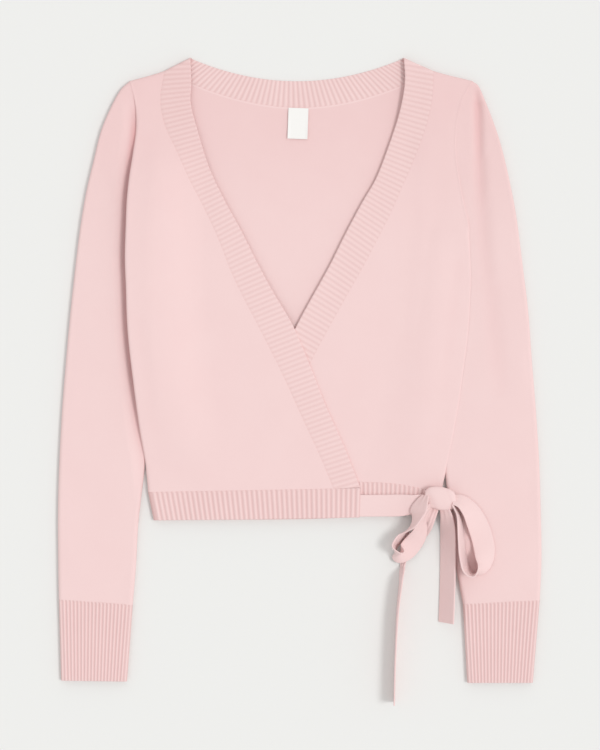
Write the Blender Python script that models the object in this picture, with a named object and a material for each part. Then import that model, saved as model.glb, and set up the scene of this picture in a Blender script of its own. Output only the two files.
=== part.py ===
# Wrap cardigan in fine knit, laid flat on its back with the right front over the left.
# A strap from the right front's hem ends in a bow at the left side seam.
# X runs to the wearer's left, Y to the collar and Z up; the floor is Z = 0.

from collections import namedtuple
from math import cos, exp, hypot, pi, radians, sin

import bpy
from mathutils import Vector

MM = 0.001

# Driving sizes in millimetres
CENTRE_X = 2.85            # middle of the whole outline, moved to the origin
CENTRE_Y = -0.03
KNIT = 2.0                 # thickness of the plain knit
RIB_BASE = 1.8             # thickness of the rib knit between its ridges
RIB_HEIGHT = 0.6
SEAM = 0.3                 # gap between two pieces that are sewn together
SLANT = 1.4                # how much wider that gap is along x at the slanted neckbands
EDGE_HEIGHT = 7.9          # height of the body and sleeves at a folded side
FOLD_RADIUS = (EDGE_HEIGHT - SEAM) / 2
OVER_HEIGHT = 8.6          # top of the right front where it lies on the left front
OVER_LOW = 7.4             # top of the right front where only the back is under it
UNDER_HEIGHT = 5.4         # top of the left front away from its folded side
SLEEVE_HEIGHT = 7.8
SLEEVE_FLAT = 5.4          # height of the sleeve where the body lies on it
LIFT = 6.0                 # how far the body's side rides up on a sleeve
LIFT_FULL = 26.0           # width of the side strip that is lifted fully
LIFT_END = 54.0            # where the lifted strip comes down to the floor
CUFF_HEIGHT = 7.2
TIE_THICK = 1.6
LABEL_SIZE = (21.0, 32.5)
LABEL_THICK = 0.8
LABEL_TOP = (1.6, 286.0)
LABEL_TILT = -2.0

# Ribs counted across each piece
RIBS = {
    "neckband_right": 92,
    "neckband_left": 88,
    "neckband_back": 50,
    "hem_front_right": 42,
    "hem_front_left": 44,
    "cuff": 18,
}

# Side edges of the body from shoulder to hem; the armhole ends at ARMPIT_Y.
# On the right the side is folded right up to the shoulder, on the left only below the armhole.
ARMPIT_Y = 163.0
FOLD_TOP = {"right": 400.0, "left": 162.0}
NECK_STRIP = 12.0          # least width of a front's panel that is left beside the neckband
BodyRow = namedtuple("BodyRow", "y right_x left_x")
BODY_EDGES = [
    BodyRow(314.0, -176.0, 185.0),
    BodyRow(290.0, -170.0, 173.5),
    BodyRow(265.0, -169.0, 168.0),
    BodyRow(238.0, -172.0, 167.0),
    BodyRow(213.0, -175.5, 170.0),
    BodyRow(188.0, -178.0, 174.5),
    BodyRow(163.0, -179.0, 180.0),
    BodyRow(130.0, -180.0, 182.5),
    BodyRow(100.0, -179.0, 183.0),
    BodyRow(50.0, -177.0, 180.0),
    BodyRow(0.0, -171.5, 173.5),
    BodyRow(-50.0, -165.3, 165.0),
    BodyRow(-86.0, -159.5, 157.5),
    BodyRow(-117.0, -156.5, 151.0),
]
# Rows of knit that the back and the fronts share
ROW_Y = (-117, -100, -75, -50, -25, 0, 25, 50, 75, 100, 125, 150, 163, 188, 213, 238, 262, 286)
SHOULDER_Y = 314.0
HEM_Y = -117.0
FRONT_COLUMNS = 4
BACK_COLUMNS = 12
EDGE_STEPS = 40
PLAIN_RIBS = 10            # columns of a rib piece that stays plain
PLAIN_ENDS = 6             # rows at a folded end that carry no ridge
SLEEVE_COLUMNS = 6
CUFF_UNDER_COLUMNS = 8
FADE_POWER = 4             # how soon a panel's rows straighten away from a shaped end

# Heights that change along the body: from one y or x to the other
LIFT_LOW = (-117.0, -100.0)      # the lift grows upwards from the hem
LIFT_HIGH = (125.0, 150.0)       # and ends below the armpit
SHOULDER_RISE = (255.0, 306.0)   # the fronts rise to the shoulder
CROSSING_X = (-130.0, -92.0)     # the right front rises on to the left front
CROSSING_Y = (72.0, 110.0)

# Neckbands: x of the free edge and of the seam at each height
NECK_POINT = {"right": (-112.0, 339.0), "left": (112.0, 338.5)}
SHOULDER_SEAM = {"right": (-139.0, 325.0), "left": (143.0, 325.0)}
EdgeRow = namedtuple("EdgeRow", "y x")
FREE_EDGE = {
    "right": [
        EdgeRow(339.0, -112.0),
        EdgeRow(313.0, -111.0),
        EdgeRow(291.0, -111.5),
        EdgeRow(263.0, -104.5),
        EdgeRow(223.0, -92.0),
        EdgeRow(187.0, -75.0),
        EdgeRow(157.0, -58.5),
        EdgeRow(123.0, -41.5),
        EdgeRow(89.0, -23.0),
        EdgeRow(59.0, -5.0),
        EdgeRow(15.0, 14.0),
        EdgeRow(-28.0, 31.0),
        EdgeRow(-71.5, 50.5),
        EdgeRow(-112.8, 66.6),
    ],
    "left": [
        EdgeRow(338.5, 112.0),
        EdgeRow(313.0, 113.0),
        EdgeRow(283.0, 108.0),
        EdgeRow(251.0, 98.0),
        EdgeRow(212.0, 83.0),
        EdgeRow(186.0, 68.0),
        EdgeRow(154.0, 51.0),
        EdgeRow(120.0, 34.0),
        EdgeRow(84.0, 14.0),
        EdgeRow(54.0, -2.0),
        EdgeRow(10.0, -21.0),
        EdgeRow(-40.0, -42.0),
        EdgeRow(-80.0, -58.0),
        EdgeRow(-104.6, -68.0),
    ],
}
BAND_SEAM = {
    "right": [
        EdgeRow(325.0, -139.0),
        EdgeRow(296.0, -143.5),
        EdgeRow(268.0, -139.0),
        EdgeRow(239.0, -127.0),
        EdgeRow(204.0, -112.0),
        EdgeRow(179.0, -99.0),
        EdgeRow(146.0, -83.0),
        EdgeRow(112.0, -69.0),
        EdgeRow(84.0, -55.0),
        EdgeRow(59.0, -41.5),
        EdgeRow(10.5, -17.0),
        EdgeRow(-42.5, 7.0),
        EdgeRow(-84.0, 26.0),
        EdgeRow(-113.5, 38.0),
    ],
    "left": [
        EdgeRow(325.0, 143.0),
        EdgeRow(308.0, 143.0),
        EdgeRow(288.0, 141.0),
        EdgeRow(266.0, 136.0),
        EdgeRow(246.0, 129.5),
        EdgeRow(221.0, 120.0),
        EdgeRow(203.0, 112.0),
        EdgeRow(171.0, 98.0),
        EdgeRow(146.0, 85.0),
        EdgeRow(115.0, 68.0),
        EdgeRow(76.0, 45.0),
        EdgeRow(23.0, 16.0),
        EdgeRow(-20.0, -4.0),
        EdgeRow(-60.0, -22.0),
        EdgeRow(-104.8, -40.0),
    ],
}

# Back neck band: lowest point of its seam and of its free edge at the middle
BACK_NECK_SEAM_Y = 286.5
BACK_NECK_EDGE_Y = 314.5
BACK_NECK_POWER = 1.9

# Hem seams and lower edges of the three body pieces
HemRow = namedtuple("HemRow", "x seam_y edge_y")
HEM_RIGHT_FRONT = [
    HemRow(-156.5, -117.5, -147.5),
    HemRow(-41.0, -115.3, -146.0),
    HemRow(66.8, -113.2, -144.2),
]
HEM_LEFT_FRONT = [
    HemRow(-68.0, -105.0, -134.5),
    HemRow(40.0, -105.2, -135.5),
    HemRow(69.0, -107.0, -137.5),
    HemRow(98.0, -110.0, -138.5),
    HemRow(127.0, -119.5, -137.0),
    HemRow(151.0, -121.5, -132.0),
]
HEM_BACK = [
    HemRow(-156.5, -117.5, -147.5),
    HemRow(0.0, -116.0, -146.5),
    HemRow(62.0, -115.6, -144.0),
    HemRow(84.0, -115.4, -140.5),
    HemRow(151.0, -115.0, -132.0),
]
# x of the body's side at the hem's seam and at its lower edge
HEM_RIGHT_SIDE = (-156.5, -150.5)
HEM_LEFT_SIDE = (151.0, 148.0)
HEM_LEFT_SIDE_FRONT = (150.4, 147.7)
HEM_RIGHT_FAR = (66.8, 65.8)
HEM_LEFT_FAR = (-66.0, -60.0)

# Sleeves: paired points on the outer and the inner edge, from the armhole to the cuff
SleeveRow = namedtuple("SleeveRow", "outer_x outer_y inner_x inner_y")
SLEEVES = {
    "right": [
        SleeveRow(-176.6, 314.4, -179.8, 163.0),
        SleeveRow(-187.0, 304.0, -180.5, 150.0),
        SleeveRow(-198.0, 283.0, -180.9, 136.0),
        SleeveRow(-207.0, 260.0, -180.6, 124.0),
        SleeveRow(-213.5, 233.0, -173.5, 106.0),
        SleeveRow(-221.5, 199.0, -163.5, 84.0),
        SleeveRow(-228.0, 160.0, -158.0, 56.0),
        SleeveRow(-233.5, 115.0, -156.0, 20.0),
        SleeveRow(-238.5, 68.0, -156.0, -15.0),
        SleeveRow(-243.0, 18.0, -157.3, -50.0),
        SleeveRow(-247.0, -33.0, -160.0, -90.0),
        SleeveRow(-250.0, -90.0, -163.8, -125.0),
        SleeveRow(-251.3, -140.0, -167.0, -155.0),
        SleeveRow(-251.0, -188.0, -169.0, -193.0),
        SleeveRow(-250.4, -230.0, -172.5, -236.0),
    ],
    "left": [
        SleeveRow(185.6, 313.8, 180.8, 163.0),
        SleeveRow(192.0, 308.5, 182.3, 150.0),
        SleeveRow(199.5, 291.0, 183.4, 136.0),
        SleeveRow(207.0, 271.0, 183.6, 124.0),
        SleeveRow(215.0, 246.0, 177.5, 106.0),
        SleeveRow(224.0, 208.0, 167.5, 84.0),
        SleeveRow(231.0, 170.0, 161.0, 56.0),
        SleeveRow(238.0, 115.0, 157.0, 20.0),
        SleeveRow(243.0, 73.0, 155.0, -15.0),
        SleeveRow(247.0, 20.0, 154.3, -50.0),
        SleeveRow(251.0, -30.0, 155.0, -88.0),
        SleeveRow(254.5, -85.0, 158.3, -122.0),
        SleeveRow(256.3, -140.0, 162.5, -155.0),
        SleeveRow(257.0, -190.0, 166.5, -193.0),
        SleeveRow(255.2, -231.0, 174.4, -235.0),
    ],
}
# Where the body presses the sleeve down: between which y it starts and ends, and how far out
PRESSED_TOP = {"right": (285.0, 308.0), "left": (120.0, 163.0)}
PRESSED_END = (-130.0, -105.0)
PRESSED_WIDTH = 14.0

# Cuffs: the four corners, upper outer, upper inner, lower outer, lower inner
CuffCorners = namedtuple("CuffCorners", "top_outer top_inner low_outer low_inner")
CUFFS = {
    "right": CuffCorners((-249.8, -230.4), (-173.0, -236.4), (-248.0, -315.6), (-178.6, -316.6)),
    "left": CuffCorners((254.6, -231.4), (175.0, -235.4), (247.9, -318.0), (178.9, -318.0)),
}

# Largest soft folds: a straight crest from one point to another, negative where it is a valley
Fold = namedtuple("Fold", "x0 y0 x1 y1 width height")
SLEEVE_FOLDS = {
    "right": [Fold(-196, 268, -205, 190, 10, -0.8)],
    "left": [Fold(189, 301, 194, 200, 9, -1.7), Fold(194, 200, 210, 10, 12, -0.8)],
}
FRONT_FOLDS = {
    "right": [Fold(-123, 84, -121, -96, 16, 0.9), Fold(-150, 225, -120, 120, 14, 0.5)],
    "left": [Fold(136, 244, 114, 59, 13, 1.0), Fold(150, 150, 128, -60, 12, 0.6)],
}

# Ties: middle line, height of what carries the lower edge, tilt of the width and width,
# which is 23 where the tie is spread out and less where it is drawn into the knot.
# Tilt 0 lies flat, 90 stands on an edge, and past 90 the raised edge leans outwards.
TieRow = namedtuple("TieRow", "x y rest tilt width")
STRAP = [
    TieRow(67.3, -131.8, 6.7, 0, 23),
    TieRow(90.0, -131.7, 6.6, 0, 23),
    TieRow(108.0, -131.4, 7.1, 0, 23),
    TieRow(121.0, -130.0, 9.0, 0, 20),
    TieRow(130.0, -127.0, 9.5, 0, 15),
    TieRow(138.0, -124.8, 9.5, 0, 9),
]
LOOP_INNER = [
    TieRow(134.2, -120.8, 12.0, 56, 10),
    TieRow(130.0, -127.2, 11.9, 52, 17),
    TieRow(126.0, -134.5, 11.4, 54, 22),
    TieRow(122.6, -142.5, 10.6, 72, 23),
    TieRow(118.8, -152.0, 6.0, 95, 23),
    TieRow(113.0, -161.5, 1.5, 111, 23),
    TieRow(106.5, -170.0, 0.9, 117, 23),
    TieRow(102.8, -178.5, 1.5, 103, 23),
    TieRow(107.4, -185.0, 3.4, 54, 23),
    TieRow(114.9, -180.7, 3.8, 26, 22),
    TieRow(122.2, -171.5, 4.0, 26, 22),
    TieRow(128.4, -160.5, 7.4, 38, 21),
    TieRow(132.4, -148.5, 11.4, 56, 16),
    TieRow(137.0, -138.6, 11.8, 60, 10),
]
LOOP_OUTER = [
    TieRow(165.6, -125.2, 10.4, 60, 10),
    TieRow(173.0, -128.8, 8.8, 52, 17),
    TieRow(180.5, -138.0, 8.4, 34, 21),
    TieRow(186.6, -151.5, 8.4, 14, 23),
    TieRow(191.6, -166.5, 8.4, 5, 23),
    TieRow(194.0, -180.5, 8.4, 16, 23),
    TieRow(191.2, -193.5, 8.4, 50, 23),
    TieRow(183.0, -200.5, 8.4, 90, 23),
    TieRow(176.2, -195.0, 8.4, 112, 23),
    TieRow(172.6, -180.5, 8.4, 106, 23),
    TieRow(171.8, -165.5, 8.4, 93, 23),
    TieRow(171.2, -151.0, 8.4, 66, 22),
    TieRow(170.2, -140.5, 8.8, 62, 17),
    TieRow(167.0, -133.2, 10.2, 66, 10),
]
END_SHORT = [
    TieRow(154.3, -134.7, 10.6, 40, 9),
    TieRow(156.8, -145.0, 7.0, 48, 17),
    TieRow(158.2, -158.0, 1.2, 56, 22),
    TieRow(158.4, -175.0, 0.2, 57, 23),
    TieRow(158.0, -215.0, 0.2, 57, 23),
    TieRow(156.6, -254.5, 0.2, 57, 23),
]
END_LONG = [
    TieRow(143.2, -136.2, 9.2, 0, 9),
    TieRow(140.0, -145.5, 9.2, 0, 10),
    TieRow(136.0, -155.0, 5.4, 0, 11),
    TieRow(129.5, -164.0, 1.2, 0, 12),
    TieRow(121.0, -173.0, 0.2, 0, 12),
    TieRow(115.6, -182.0, 0.2, 0, 10),
    TieRow(113.0, -190.0, 0.2, 0, 7),
    TieRow(112.0, -197.0, 0.2, 24, 9),
    TieRow(111.0, -204.0, 0.2, 68, 15),
    TieRow(109.8, -214.0, 0.2, 85, 22),
    TieRow(106.4, -245.0, 0.2, 90, 23),
    TieRow(104.4, -290.0, 0.2, 92, 23),
    TieRow(103.0, -339.0, 0.2, 93, 23),
]
KNOT_CENTRE = (150.8, -123.3, 15.4)
KNOT_HALF = (14.6, 10.8, 5.8)
KNOT_RINGS = 9
KNOT_CORNERS = 14
TIE_STEPS = 3

Finish = namedtuple("Finish", "colour roughness")
FINISHES = {
    "plain_knit": Finish((0.89, 0.66, 0.64), 0.95),
    "rib_knit": Finish((0.88, 0.64, 0.62), 0.95),
    "woven_label": Finish((0.93, 0.92, 0.90), 0.8),
    "tie_knit": Finish((0.89, 0.66, 0.64), 0.9),
}


# Curves and small helpers
def mix(a, b, t):
    return a + (b - a) * t


def ramp(value, low, high):
    return min(1.0, max(0.0, (value - low) / (high - low)))


def smooth_at(keys, values, key):
    """Value at a key on a smooth curve through (key, value) pairs in rising key order."""
    last = len(keys) - 1
    i = 0
    while i < last - 1 and key > keys[i + 1]:
        i += 1
    slopes = []
    for j in (i, i + 1):
        low = max(j - 1, 0)
        high = min(j + 1, last)
        slopes.append((values[high] - values[low]) / (keys[high] - keys[low]))
    span = keys[i + 1] - keys[i]
    t = (key - keys[i]) / span
    ends = values[i] * (1 + 2 * t) * (1 - t) ** 2 + values[i + 1] * t * t * (3 - 2 * t)
    return ends + span * (slopes[0] * t * (1 - t) ** 2 - slopes[1] * t * t * (1 - t))


def table_at(rows, key, at, value):
    """Smooth value of one named column of a table at a place in another column."""
    ordered = sorted(rows, key=lambda row: getattr(row, key))
    return smooth_at([getattr(row, key) for row in ordered], [getattr(row, value) for row in ordered], at)


def point_at(points, share):
    """Point at a share of a polyline's length."""
    lengths = [0.0]
    for a, b in zip(points, points[1:]):
        lengths.append(lengths[-1] + hypot(b[0] - a[0], b[1] - a[1]))
    goal = lengths[-1] * share
    i = 0
    while i < len(points) - 2 and lengths[i + 1] < goal:
        i += 1
    t = (goal - lengths[i]) / (lengths[i + 1] - lengths[i])
    return mix(points[i][0], points[i + 1][0], t), mix(points[i][1], points[i + 1][1], t)


def fold_height(folds, x, y):
    """Height of the soft folds at a point of a panel."""
    total = 0.0
    for fold in folds:
        along_x, along_y = fold.x1 - fold.x0, fold.y1 - fold.y0
        t = ((x - fold.x0) * along_x + (y - fold.y0) * along_y) / (along_x ** 2 + along_y ** 2)
        t = ramp(t, 0.0, 1.0)
        across = hypot(x - fold.x0 - along_x * t, y - fold.y0 - along_y * t)
        total += fold.height * exp(-(across / fold.width) ** 2)
    return total


def side_sign(side):
    """Direction of x from the body's side inwards."""
    return 1 if side == "right" else -1


def body_x(side, y):
    return table_at(BODY_EDGES, "y", y, side + "_x")


# Bodies: a wall between an outer and an inner grid, or a tube between two sets of rings
def material(name):
    finish = FINISHES[name]
    made = bpy.data.materials.get(name)
    if made is None:
        made = bpy.data.materials.new(name)
    made.use_nodes = True
    shader = made.node_tree.nodes["Principled BSDF"]
    shader.inputs["Base Color"].default_value = (*finish.colour, 1.0)
    shader.inputs["Roughness"].default_value = finish.roughness
    shader.inputs["Metallic"].default_value = 0.0
    return made


def add_body(name, points, faces, finish):
    """Object from points in millimetres, with its faces turned outwards."""
    placed = [Vector((x - CENTRE_X, y - CENTRE_Y, z)) * MM for x, y, z in points]
    volume = 0.0
    for face in faces:
        for b, c in zip(face[1:], face[2:]):
            volume += placed[face[0]].dot(placed[b].cross(placed[c]))
    if volume < 0:
        faces = [face[::-1] for face in faces]
    mesh = bpy.data.meshes.new(name)
    mesh.from_pydata(placed, [], faces)
    mesh.materials.append(material(finish))
    body = bpy.data.objects.new(name, mesh)
    bpy.context.collection.objects.link(body)
    return body


def split_quad(points, quad):
    """Two triangles that share the diagonal rising with x, so that layers crease alike."""
    a, b, c, d = quad
    if (points[c][0] - points[a][0]) * (points[c][1] - points[a][1]) > 0:
        return [(a, b, c), (a, c, d)]
    return [(b, c, d), (b, d, a)]


def wall(name, outer, inner, finish):
    """Closed wall between two grids of the same size, stitched round the border."""
    rows, columns = len(outer), len(outer[0])
    points = [point for grid in (outer, inner) for row in grid for point in row]

    def at(side, r, c):
        return (side * rows + r) * columns + c

    faces = []
    for r in range(rows - 1):
        for c in range(columns - 1):
            quad = (at(0, r, c), at(0, r, c + 1), at(0, r + 1, c + 1), at(0, r + 1, c))
            faces += split_quad(points, quad)
            quad = (at(1, r + 1, c), at(1, r + 1, c + 1), at(1, r, c + 1), at(1, r, c))
            faces += split_quad(points, quad)
    for c in range(columns - 1):
        low, high = 0, rows - 1
        faces.append((at(0, low, c + 1), at(0, low, c), at(1, low, c), at(1, low, c + 1)))
        faces.append((at(0, high, c), at(0, high, c + 1), at(1, high, c + 1), at(1, high, c)))
    for r in range(rows - 1):
        low, high = 0, columns - 1
        faces.append((at(0, r, low), at(0, r + 1, low), at(1, r + 1, low), at(1, r, low)))
        faces.append((at(0, r + 1, high), at(0, r, high), at(1, r, high), at(1, r + 1, high)))
    return add_body(name, points, faces, finish)


def tube(name, outer, inner, finish):
    """Open-ended tube between outer rings and inner rings of the same size."""
    rings, count = len(outer), len(outer[0])
    points = [point for side in (outer, inner) for ring in side for point in ring]
    size = rings * count
    faces = []
    for c in range(count):
        d = (c + 1) % count
        for r in range(rings - 1):
            a, b = r * count, (r + 1) * count
            faces.append((a + c, a + d, b + d, b + c))
            faces.append((size + b + c, size + b + d, size + a + d, size + a + c))
        last = (rings - 1) * count
        faces.append((d, c, size + c, size + d))
        faces.append((last + c, last + d, size + last + d, size + last + c))
    return add_body(name, points, faces, finish)


# A folded edge in steps: distance from the edge and drop of the surface at each step
BEND_ANGLES = (90.0, 50.0, 0.0)


def bend(step, thickness, inner, amount=1.0):
    """An amount of 0 leaves a plain cut edge."""
    angle = radians(BEND_ANGLES[step])
    start = thickness * amount if inner else 0.0
    reach = (FOLD_RADIUS - thickness if inner else FOLD_RADIUS) * amount
    return start + (FOLD_RADIUS - start) * (1 - sin(angle)), reach * (1 - cos(angle))


def lift_at(distance, y):
    """How far the body's side is raised by the sleeve under it."""
    across = 1.0 - ramp(distance, LIFT_FULL, LIFT_END)
    along = min(ramp(y, LIFT_LOW[0], LIFT_LOW[1]), ramp(-y, -LIFT_HIGH[1], -LIFT_HIGH[0]))
    return LIFT * across * along


def under_top(x, y):
    """Top of the left front: it falls from the folded side to the back panel."""
    distance = abs(body_x("left", y) - x)
    side = mix(EDGE_HEIGHT, UNDER_HEIGHT, ramp(distance, FOLD_RADIUS, LIFT_END))
    shoulder = mix(UNDER_HEIGHT, EDGE_HEIGHT, ramp(y, *SHOULDER_RISE))
    return max(side, shoulder) + fold_height(FRONT_FOLDS["left"], x, y)


def over_top(x, y):
    """Top of the right front: raised where the left front lies under it."""
    distance = abs(body_x("right", y) - x)
    side = mix(EDGE_HEIGHT, OVER_LOW, ramp(distance, FOLD_RADIUS, LIFT_END))
    shoulder = mix(OVER_LOW, EDGE_HEIGHT, ramp(y, *SHOULDER_RISE))
    crossed = ramp(x, *CROSSING_X) * ramp(-y, -CROSSING_Y[1], -CROSSING_Y[0])
    on_left_front = mix(OVER_LOW, OVER_HEIGHT, crossed)
    return max(side, shoulder, on_left_front) + fold_height(FRONT_FOLDS["right"], x, y)


def front_top(side, x, y):
    return over_top(x, y) if side == "right" else under_top(x, y)


def shoulder_y(side, x):
    """Height of the shoulder seam between the armhole and the neck point."""
    ends = [(body_x(side, SHOULDER_Y), SHOULDER_Y), SHOULDER_SEAM[side], NECK_POINT[side]]
    ends.sort()
    return smooth_at([end[0] for end in ends], [end[1] for end in ends], x)


def neck_seam_y(x):
    """Seam of the back neck band."""
    middle = (SHOULDER_SEAM["left"][0] + SHOULDER_SEAM["right"][0]) / 2
    reach = SHOULDER_SEAM["left"][0] - middle
    rise = SHOULDER_SEAM["left"][1] - BACK_NECK_SEAM_Y
    return BACK_NECK_SEAM_Y + rise * min(1.0, abs(x - middle) / reach) ** BACK_NECK_POWER


def neck_corner(step):
    """Corner of the back's neck seam where one of its columns ends."""
    x = mix(SHOULDER_SEAM["right"][0], SHOULDER_SEAM["left"][0], step / BACK_COLUMNS)
    return x, neck_seam_y(x)


def neck_edge_y(x):
    """Free edge of the back neck band."""
    rise = NECK_POINT["left"][1] - BACK_NECK_EDGE_Y
    return BACK_NECK_EDGE_Y + rise * (x / NECK_POINT["left"][0]) ** 2


# Knit panels: the same rows run through the back and both fronts
def panel_rows(inner):
    """Height of each row and its drop over the shoulder."""
    rows = [(y, 0.0) for y in ROW_Y]
    for step in (2, 1, 0):
        distance, drop = bend(step, KNIT, inner)
        rows.append((SHOULDER_Y - distance, drop))
    return rows


def side_columns(side, y, width, inner):
    """x, distance from the side and drop of the columns next to the body's side."""
    amount = 1.0 if y < FOLD_TOP[side] else 0.0
    edge = body_x(side, y)
    columns = []
    for step in range(len(BEND_ANGLES)):
        distance, drop = bend(step, KNIT, inner, amount)
        columns.append((edge + side_sign(side) * distance, distance, drop))
    for distance in (LIFT_FULL, LIFT_END):
        near = FOLD_RADIUS + (distance - FOLD_RADIUS) * min(1.0, (width - NECK_STRIP) / LIFT_END)
        columns.append((edge + side_sign(side) * near, near, 0.0))
    return columns


def front_grids(side, hem):
    """Outer and inner grid of a front, columns from the body's side to the neckband."""
    sign = side_sign(side)
    seam_low = BAND_SEAM[side][-1].y
    seam_high = SHOULDER_SEAM[side][1]
    grids = []
    for inner in (False, True):
        grid = []
        for y, shoulder_drop in panel_rows(inner):
            share = (y - HEM_Y) / (SHOULDER_Y - HEM_Y)
            low, high = (1 - share) ** FADE_POWER, share ** FADE_POWER
            seam_y = y + (seam_low - HEM_Y) * low + (seam_high - SHOULDER_Y) * high
            seam_x = table_at(BAND_SEAM[side], "y", seam_y, "x") - sign * SEAM * SLANT / 2
            columns = side_columns(side, y, abs(seam_x - body_x(side, y)), inner)
            last = columns[-1][0]
            for step in range(1, FRONT_COLUMNS + 1):
                columns.append((mix(last, seam_x, step / FRONT_COLUMNS), LIFT_END, 0.0))
            row = []
            for x, distance, drop in columns:
                hem_line = table_at(hem, "x", x, "seam_y") + SEAM / 2
                level = y + (hem_line - HEM_Y) * low + (shoulder_y(side, x) - SHOULDER_Y) * high
                top = front_top(side, x, level) + lift_at(distance, y)
                z = top - max(drop, shoulder_drop) - (KNIT if inner else 0.0)
                row.append((x, level, z))
            grid.append(row)
        grids.append(grid)
    return grids


def back_grids():
    """Outer and inner grid of the back, columns from the right side to the left."""
    grids = []
    for inner in (False, True):
        grid = []
        for y, shoulder_drop in panel_rows(inner):
            share = (y - HEM_Y) / (SHOULDER_Y - HEM_Y)
            low, high = (1 - share) ** FADE_POWER, share ** FADE_POWER
            right = side_columns("right", y, 2 * LIFT_END, inner)
            left = side_columns("left", y, 2 * LIFT_END, inner)
            middle = []
            for step in range(1, BACK_COLUMNS):
                middle.append((mix(right[-1][0], left[-1][0], step / BACK_COLUMNS), LIFT_END, 0.0))
            columns = right + middle + left[::-1]
            row = []
            for number, (x, distance, drop) in enumerate(columns):
                if number < len(right):
                    top_x = mix(right[0][0], SHOULDER_SEAM["right"][0], distance / LIFT_END)
                    top_y = shoulder_y("right", top_x)
                elif number >= len(columns) - len(left):
                    top_x = mix(left[0][0], SHOULDER_SEAM["left"][0], distance / LIFT_END)
                    top_y = shoulder_y("left", top_x)
                else:
                    top_x, top_y = neck_corner(number - len(right) + 1)
                    top_y -= SEAM
                x += high * (top_x - x)
                hem_line = table_at(HEM_BACK, "x", x, "seam_y") + SEAM / 2
                level = y + (hem_line - HEM_Y) * low + (top_y - SHOULDER_Y) * high
                on_shoulder = number < len(right) or number >= len(columns) - len(left)
                rise = max(drop, shoulder_drop) if on_shoulder else drop
                z = rise + lift_at(distance, y) + (KNIT if inner else 0.0)
                row.append((x, level, z))
            grid.append(row)
        grids.append(grid)
    return grids


# Rib pieces: every second row or column stands up as a ridge
def line_length(points):
    return sum(hypot(b[0] - a[0], b[1] - a[1]) for a, b in zip(points, points[1:]))


def line_at(points, x):
    """Height of a polyline at x, carried on past its ends."""
    ordered = sorted(points)
    i = 0
    while i < len(ordered) - 2 and x > ordered[i + 1][0]:
        i += 1
    a, b = ordered[i], ordered[i + 1]
    return mix(a[1], b[1], (x - a[0]) / (b[0] - a[0]))


def front_neckband(side, panel):
    """Band from the hem to the shoulder, sewn to the last column of the panel."""
    shift = side_sign(side) * SEAM * SLANT
    seam = [(row[-1][0] + shift, row[-1][1]) for row in panel[0]]
    edge_rows = FREE_EDGE[side]
    low, high = edge_rows[-1].y, edge_rows[0].y
    heights = [mix(low, high, step / EDGE_STEPS) for step in range(EDGE_STEPS + 1)]
    edge = [(table_at(edge_rows, "y", y, "x"), y) for y in heights]
    ribs = RIBS["neckband_" + side] * 2
    length = line_length(seam)
    grids = []
    for inner in (False, True):
        grid = []
        places = [(length - FOLD_RADIUS) * step / ribs for step in range(ribs + 1)]
        drops = [0.0] * len(places)
        for step in (1, 0):
            distance, drop = bend(step, RIB_BASE, inner)
            places.append(length - distance)
            drops.append(drop)
        for number, (place, drop) in enumerate(zip(places, drops)):
            ends = point_at(seam, place / length), point_at(edge, place / length)
            ridge = RIB_HEIGHT if number % 2 and number < ribs - 1 else 0.0
            row = []
            for x, y in ends:
                bottom = front_top(side, x, min(y, SHOULDER_Y)) - KNIT
                z = bottom + (0.0 if inner else RIB_BASE + ridge) - drop
                row.append((x, y, z))
            grid.append(row)
        grids.append(grid)
    return wall("neckband_" + side, *grids, "rib_knit")


def back_neckband():
    """Band between the shoulder seams; its seam has the same corners as the back panel."""
    right, left = NECK_POINT["right"][0], NECK_POINT["left"][0]
    edge_x = [mix(right, left, step / EDGE_STEPS) for step in range(EDGE_STEPS + 1)]
    seam = [(x, y + SEAM) for x, y in (neck_corner(step) for step in range(BACK_COLUMNS + 1))]
    edge = [(x, neck_edge_y(x)) for x in edge_x]
    ribs = RIBS["neckband_back"] * 2
    length = line_length(edge)
    grids = []
    for inner in (False, True):
        bends = [bend(step, RIB_BASE, not inner) for step in (0, 1)]
        places = [(distance, drop) for distance, drop in bends]
        for step in range(ribs + 1):
            places.append((mix(FOLD_RADIUS, length - FOLD_RADIUS, step / ribs), 0.0))
        places += [(length - distance, drop) for distance, drop in bends[::-1]]
        grid = []
        for number, (place, drop) in enumerate(places):
            ridged = number % 2 and PLAIN_ENDS <= number < len(places) - PLAIN_ENDS
            row = []
            for x, y in (point_at(seam, place / length), point_at(edge, place / length)):
                z = drop + (0.0 if inner else RIB_BASE + (RIB_HEIGHT if ridged else 0.0))
                row.append((x, y, z))
            grid.append(row)
        grids.append(grid)
    return wall("neckband_back", *grids, "rib_knit")


def hem_grids(panel, rows, side_x, far_x, ribs, bottom_at, both_sides=False):
    """Rib hem under a panel's first row, folded where it meets the body's side."""
    seam = [(x, y - SEAM) for x, y, z in panel[0][0]]
    steps = ribs * 2
    grids = []
    for inner in (False, True):
        grid = []
        for share in (0, 1):
            near, far = side_x[share], far_x[share]
            width = abs(far - near)
            bends = [bend(step, RIB_BASE, inner) for step in (0, 1)]
            stop = width - (FOLD_RADIUS if both_sides else 0.0)
            line = bends + [(mix(FOLD_RADIUS, stop, step / steps), 0.0) for step in range(steps + 1)]
            if both_sides:
                line += [(width - distance, drop) for distance, drop in bends[::-1]]
            row = []
            for number, (distance, drop) in enumerate(line):
                x = mix(near, far, distance / width)
                y = table_at(rows, "x", x, "edge_y") if share else line_at(seam, x)
                ridged = ribs > PLAIN_RIBS and number % 2 == 0 and PLAIN_ENDS <= number < len(line) - 1
                row.append((x, y, bottom_at(x, y, drop, inner, RIB_HEIGHT if ridged else 0.0)))
            grid.append(row)
        grids.append(grid)
    return grids


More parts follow.
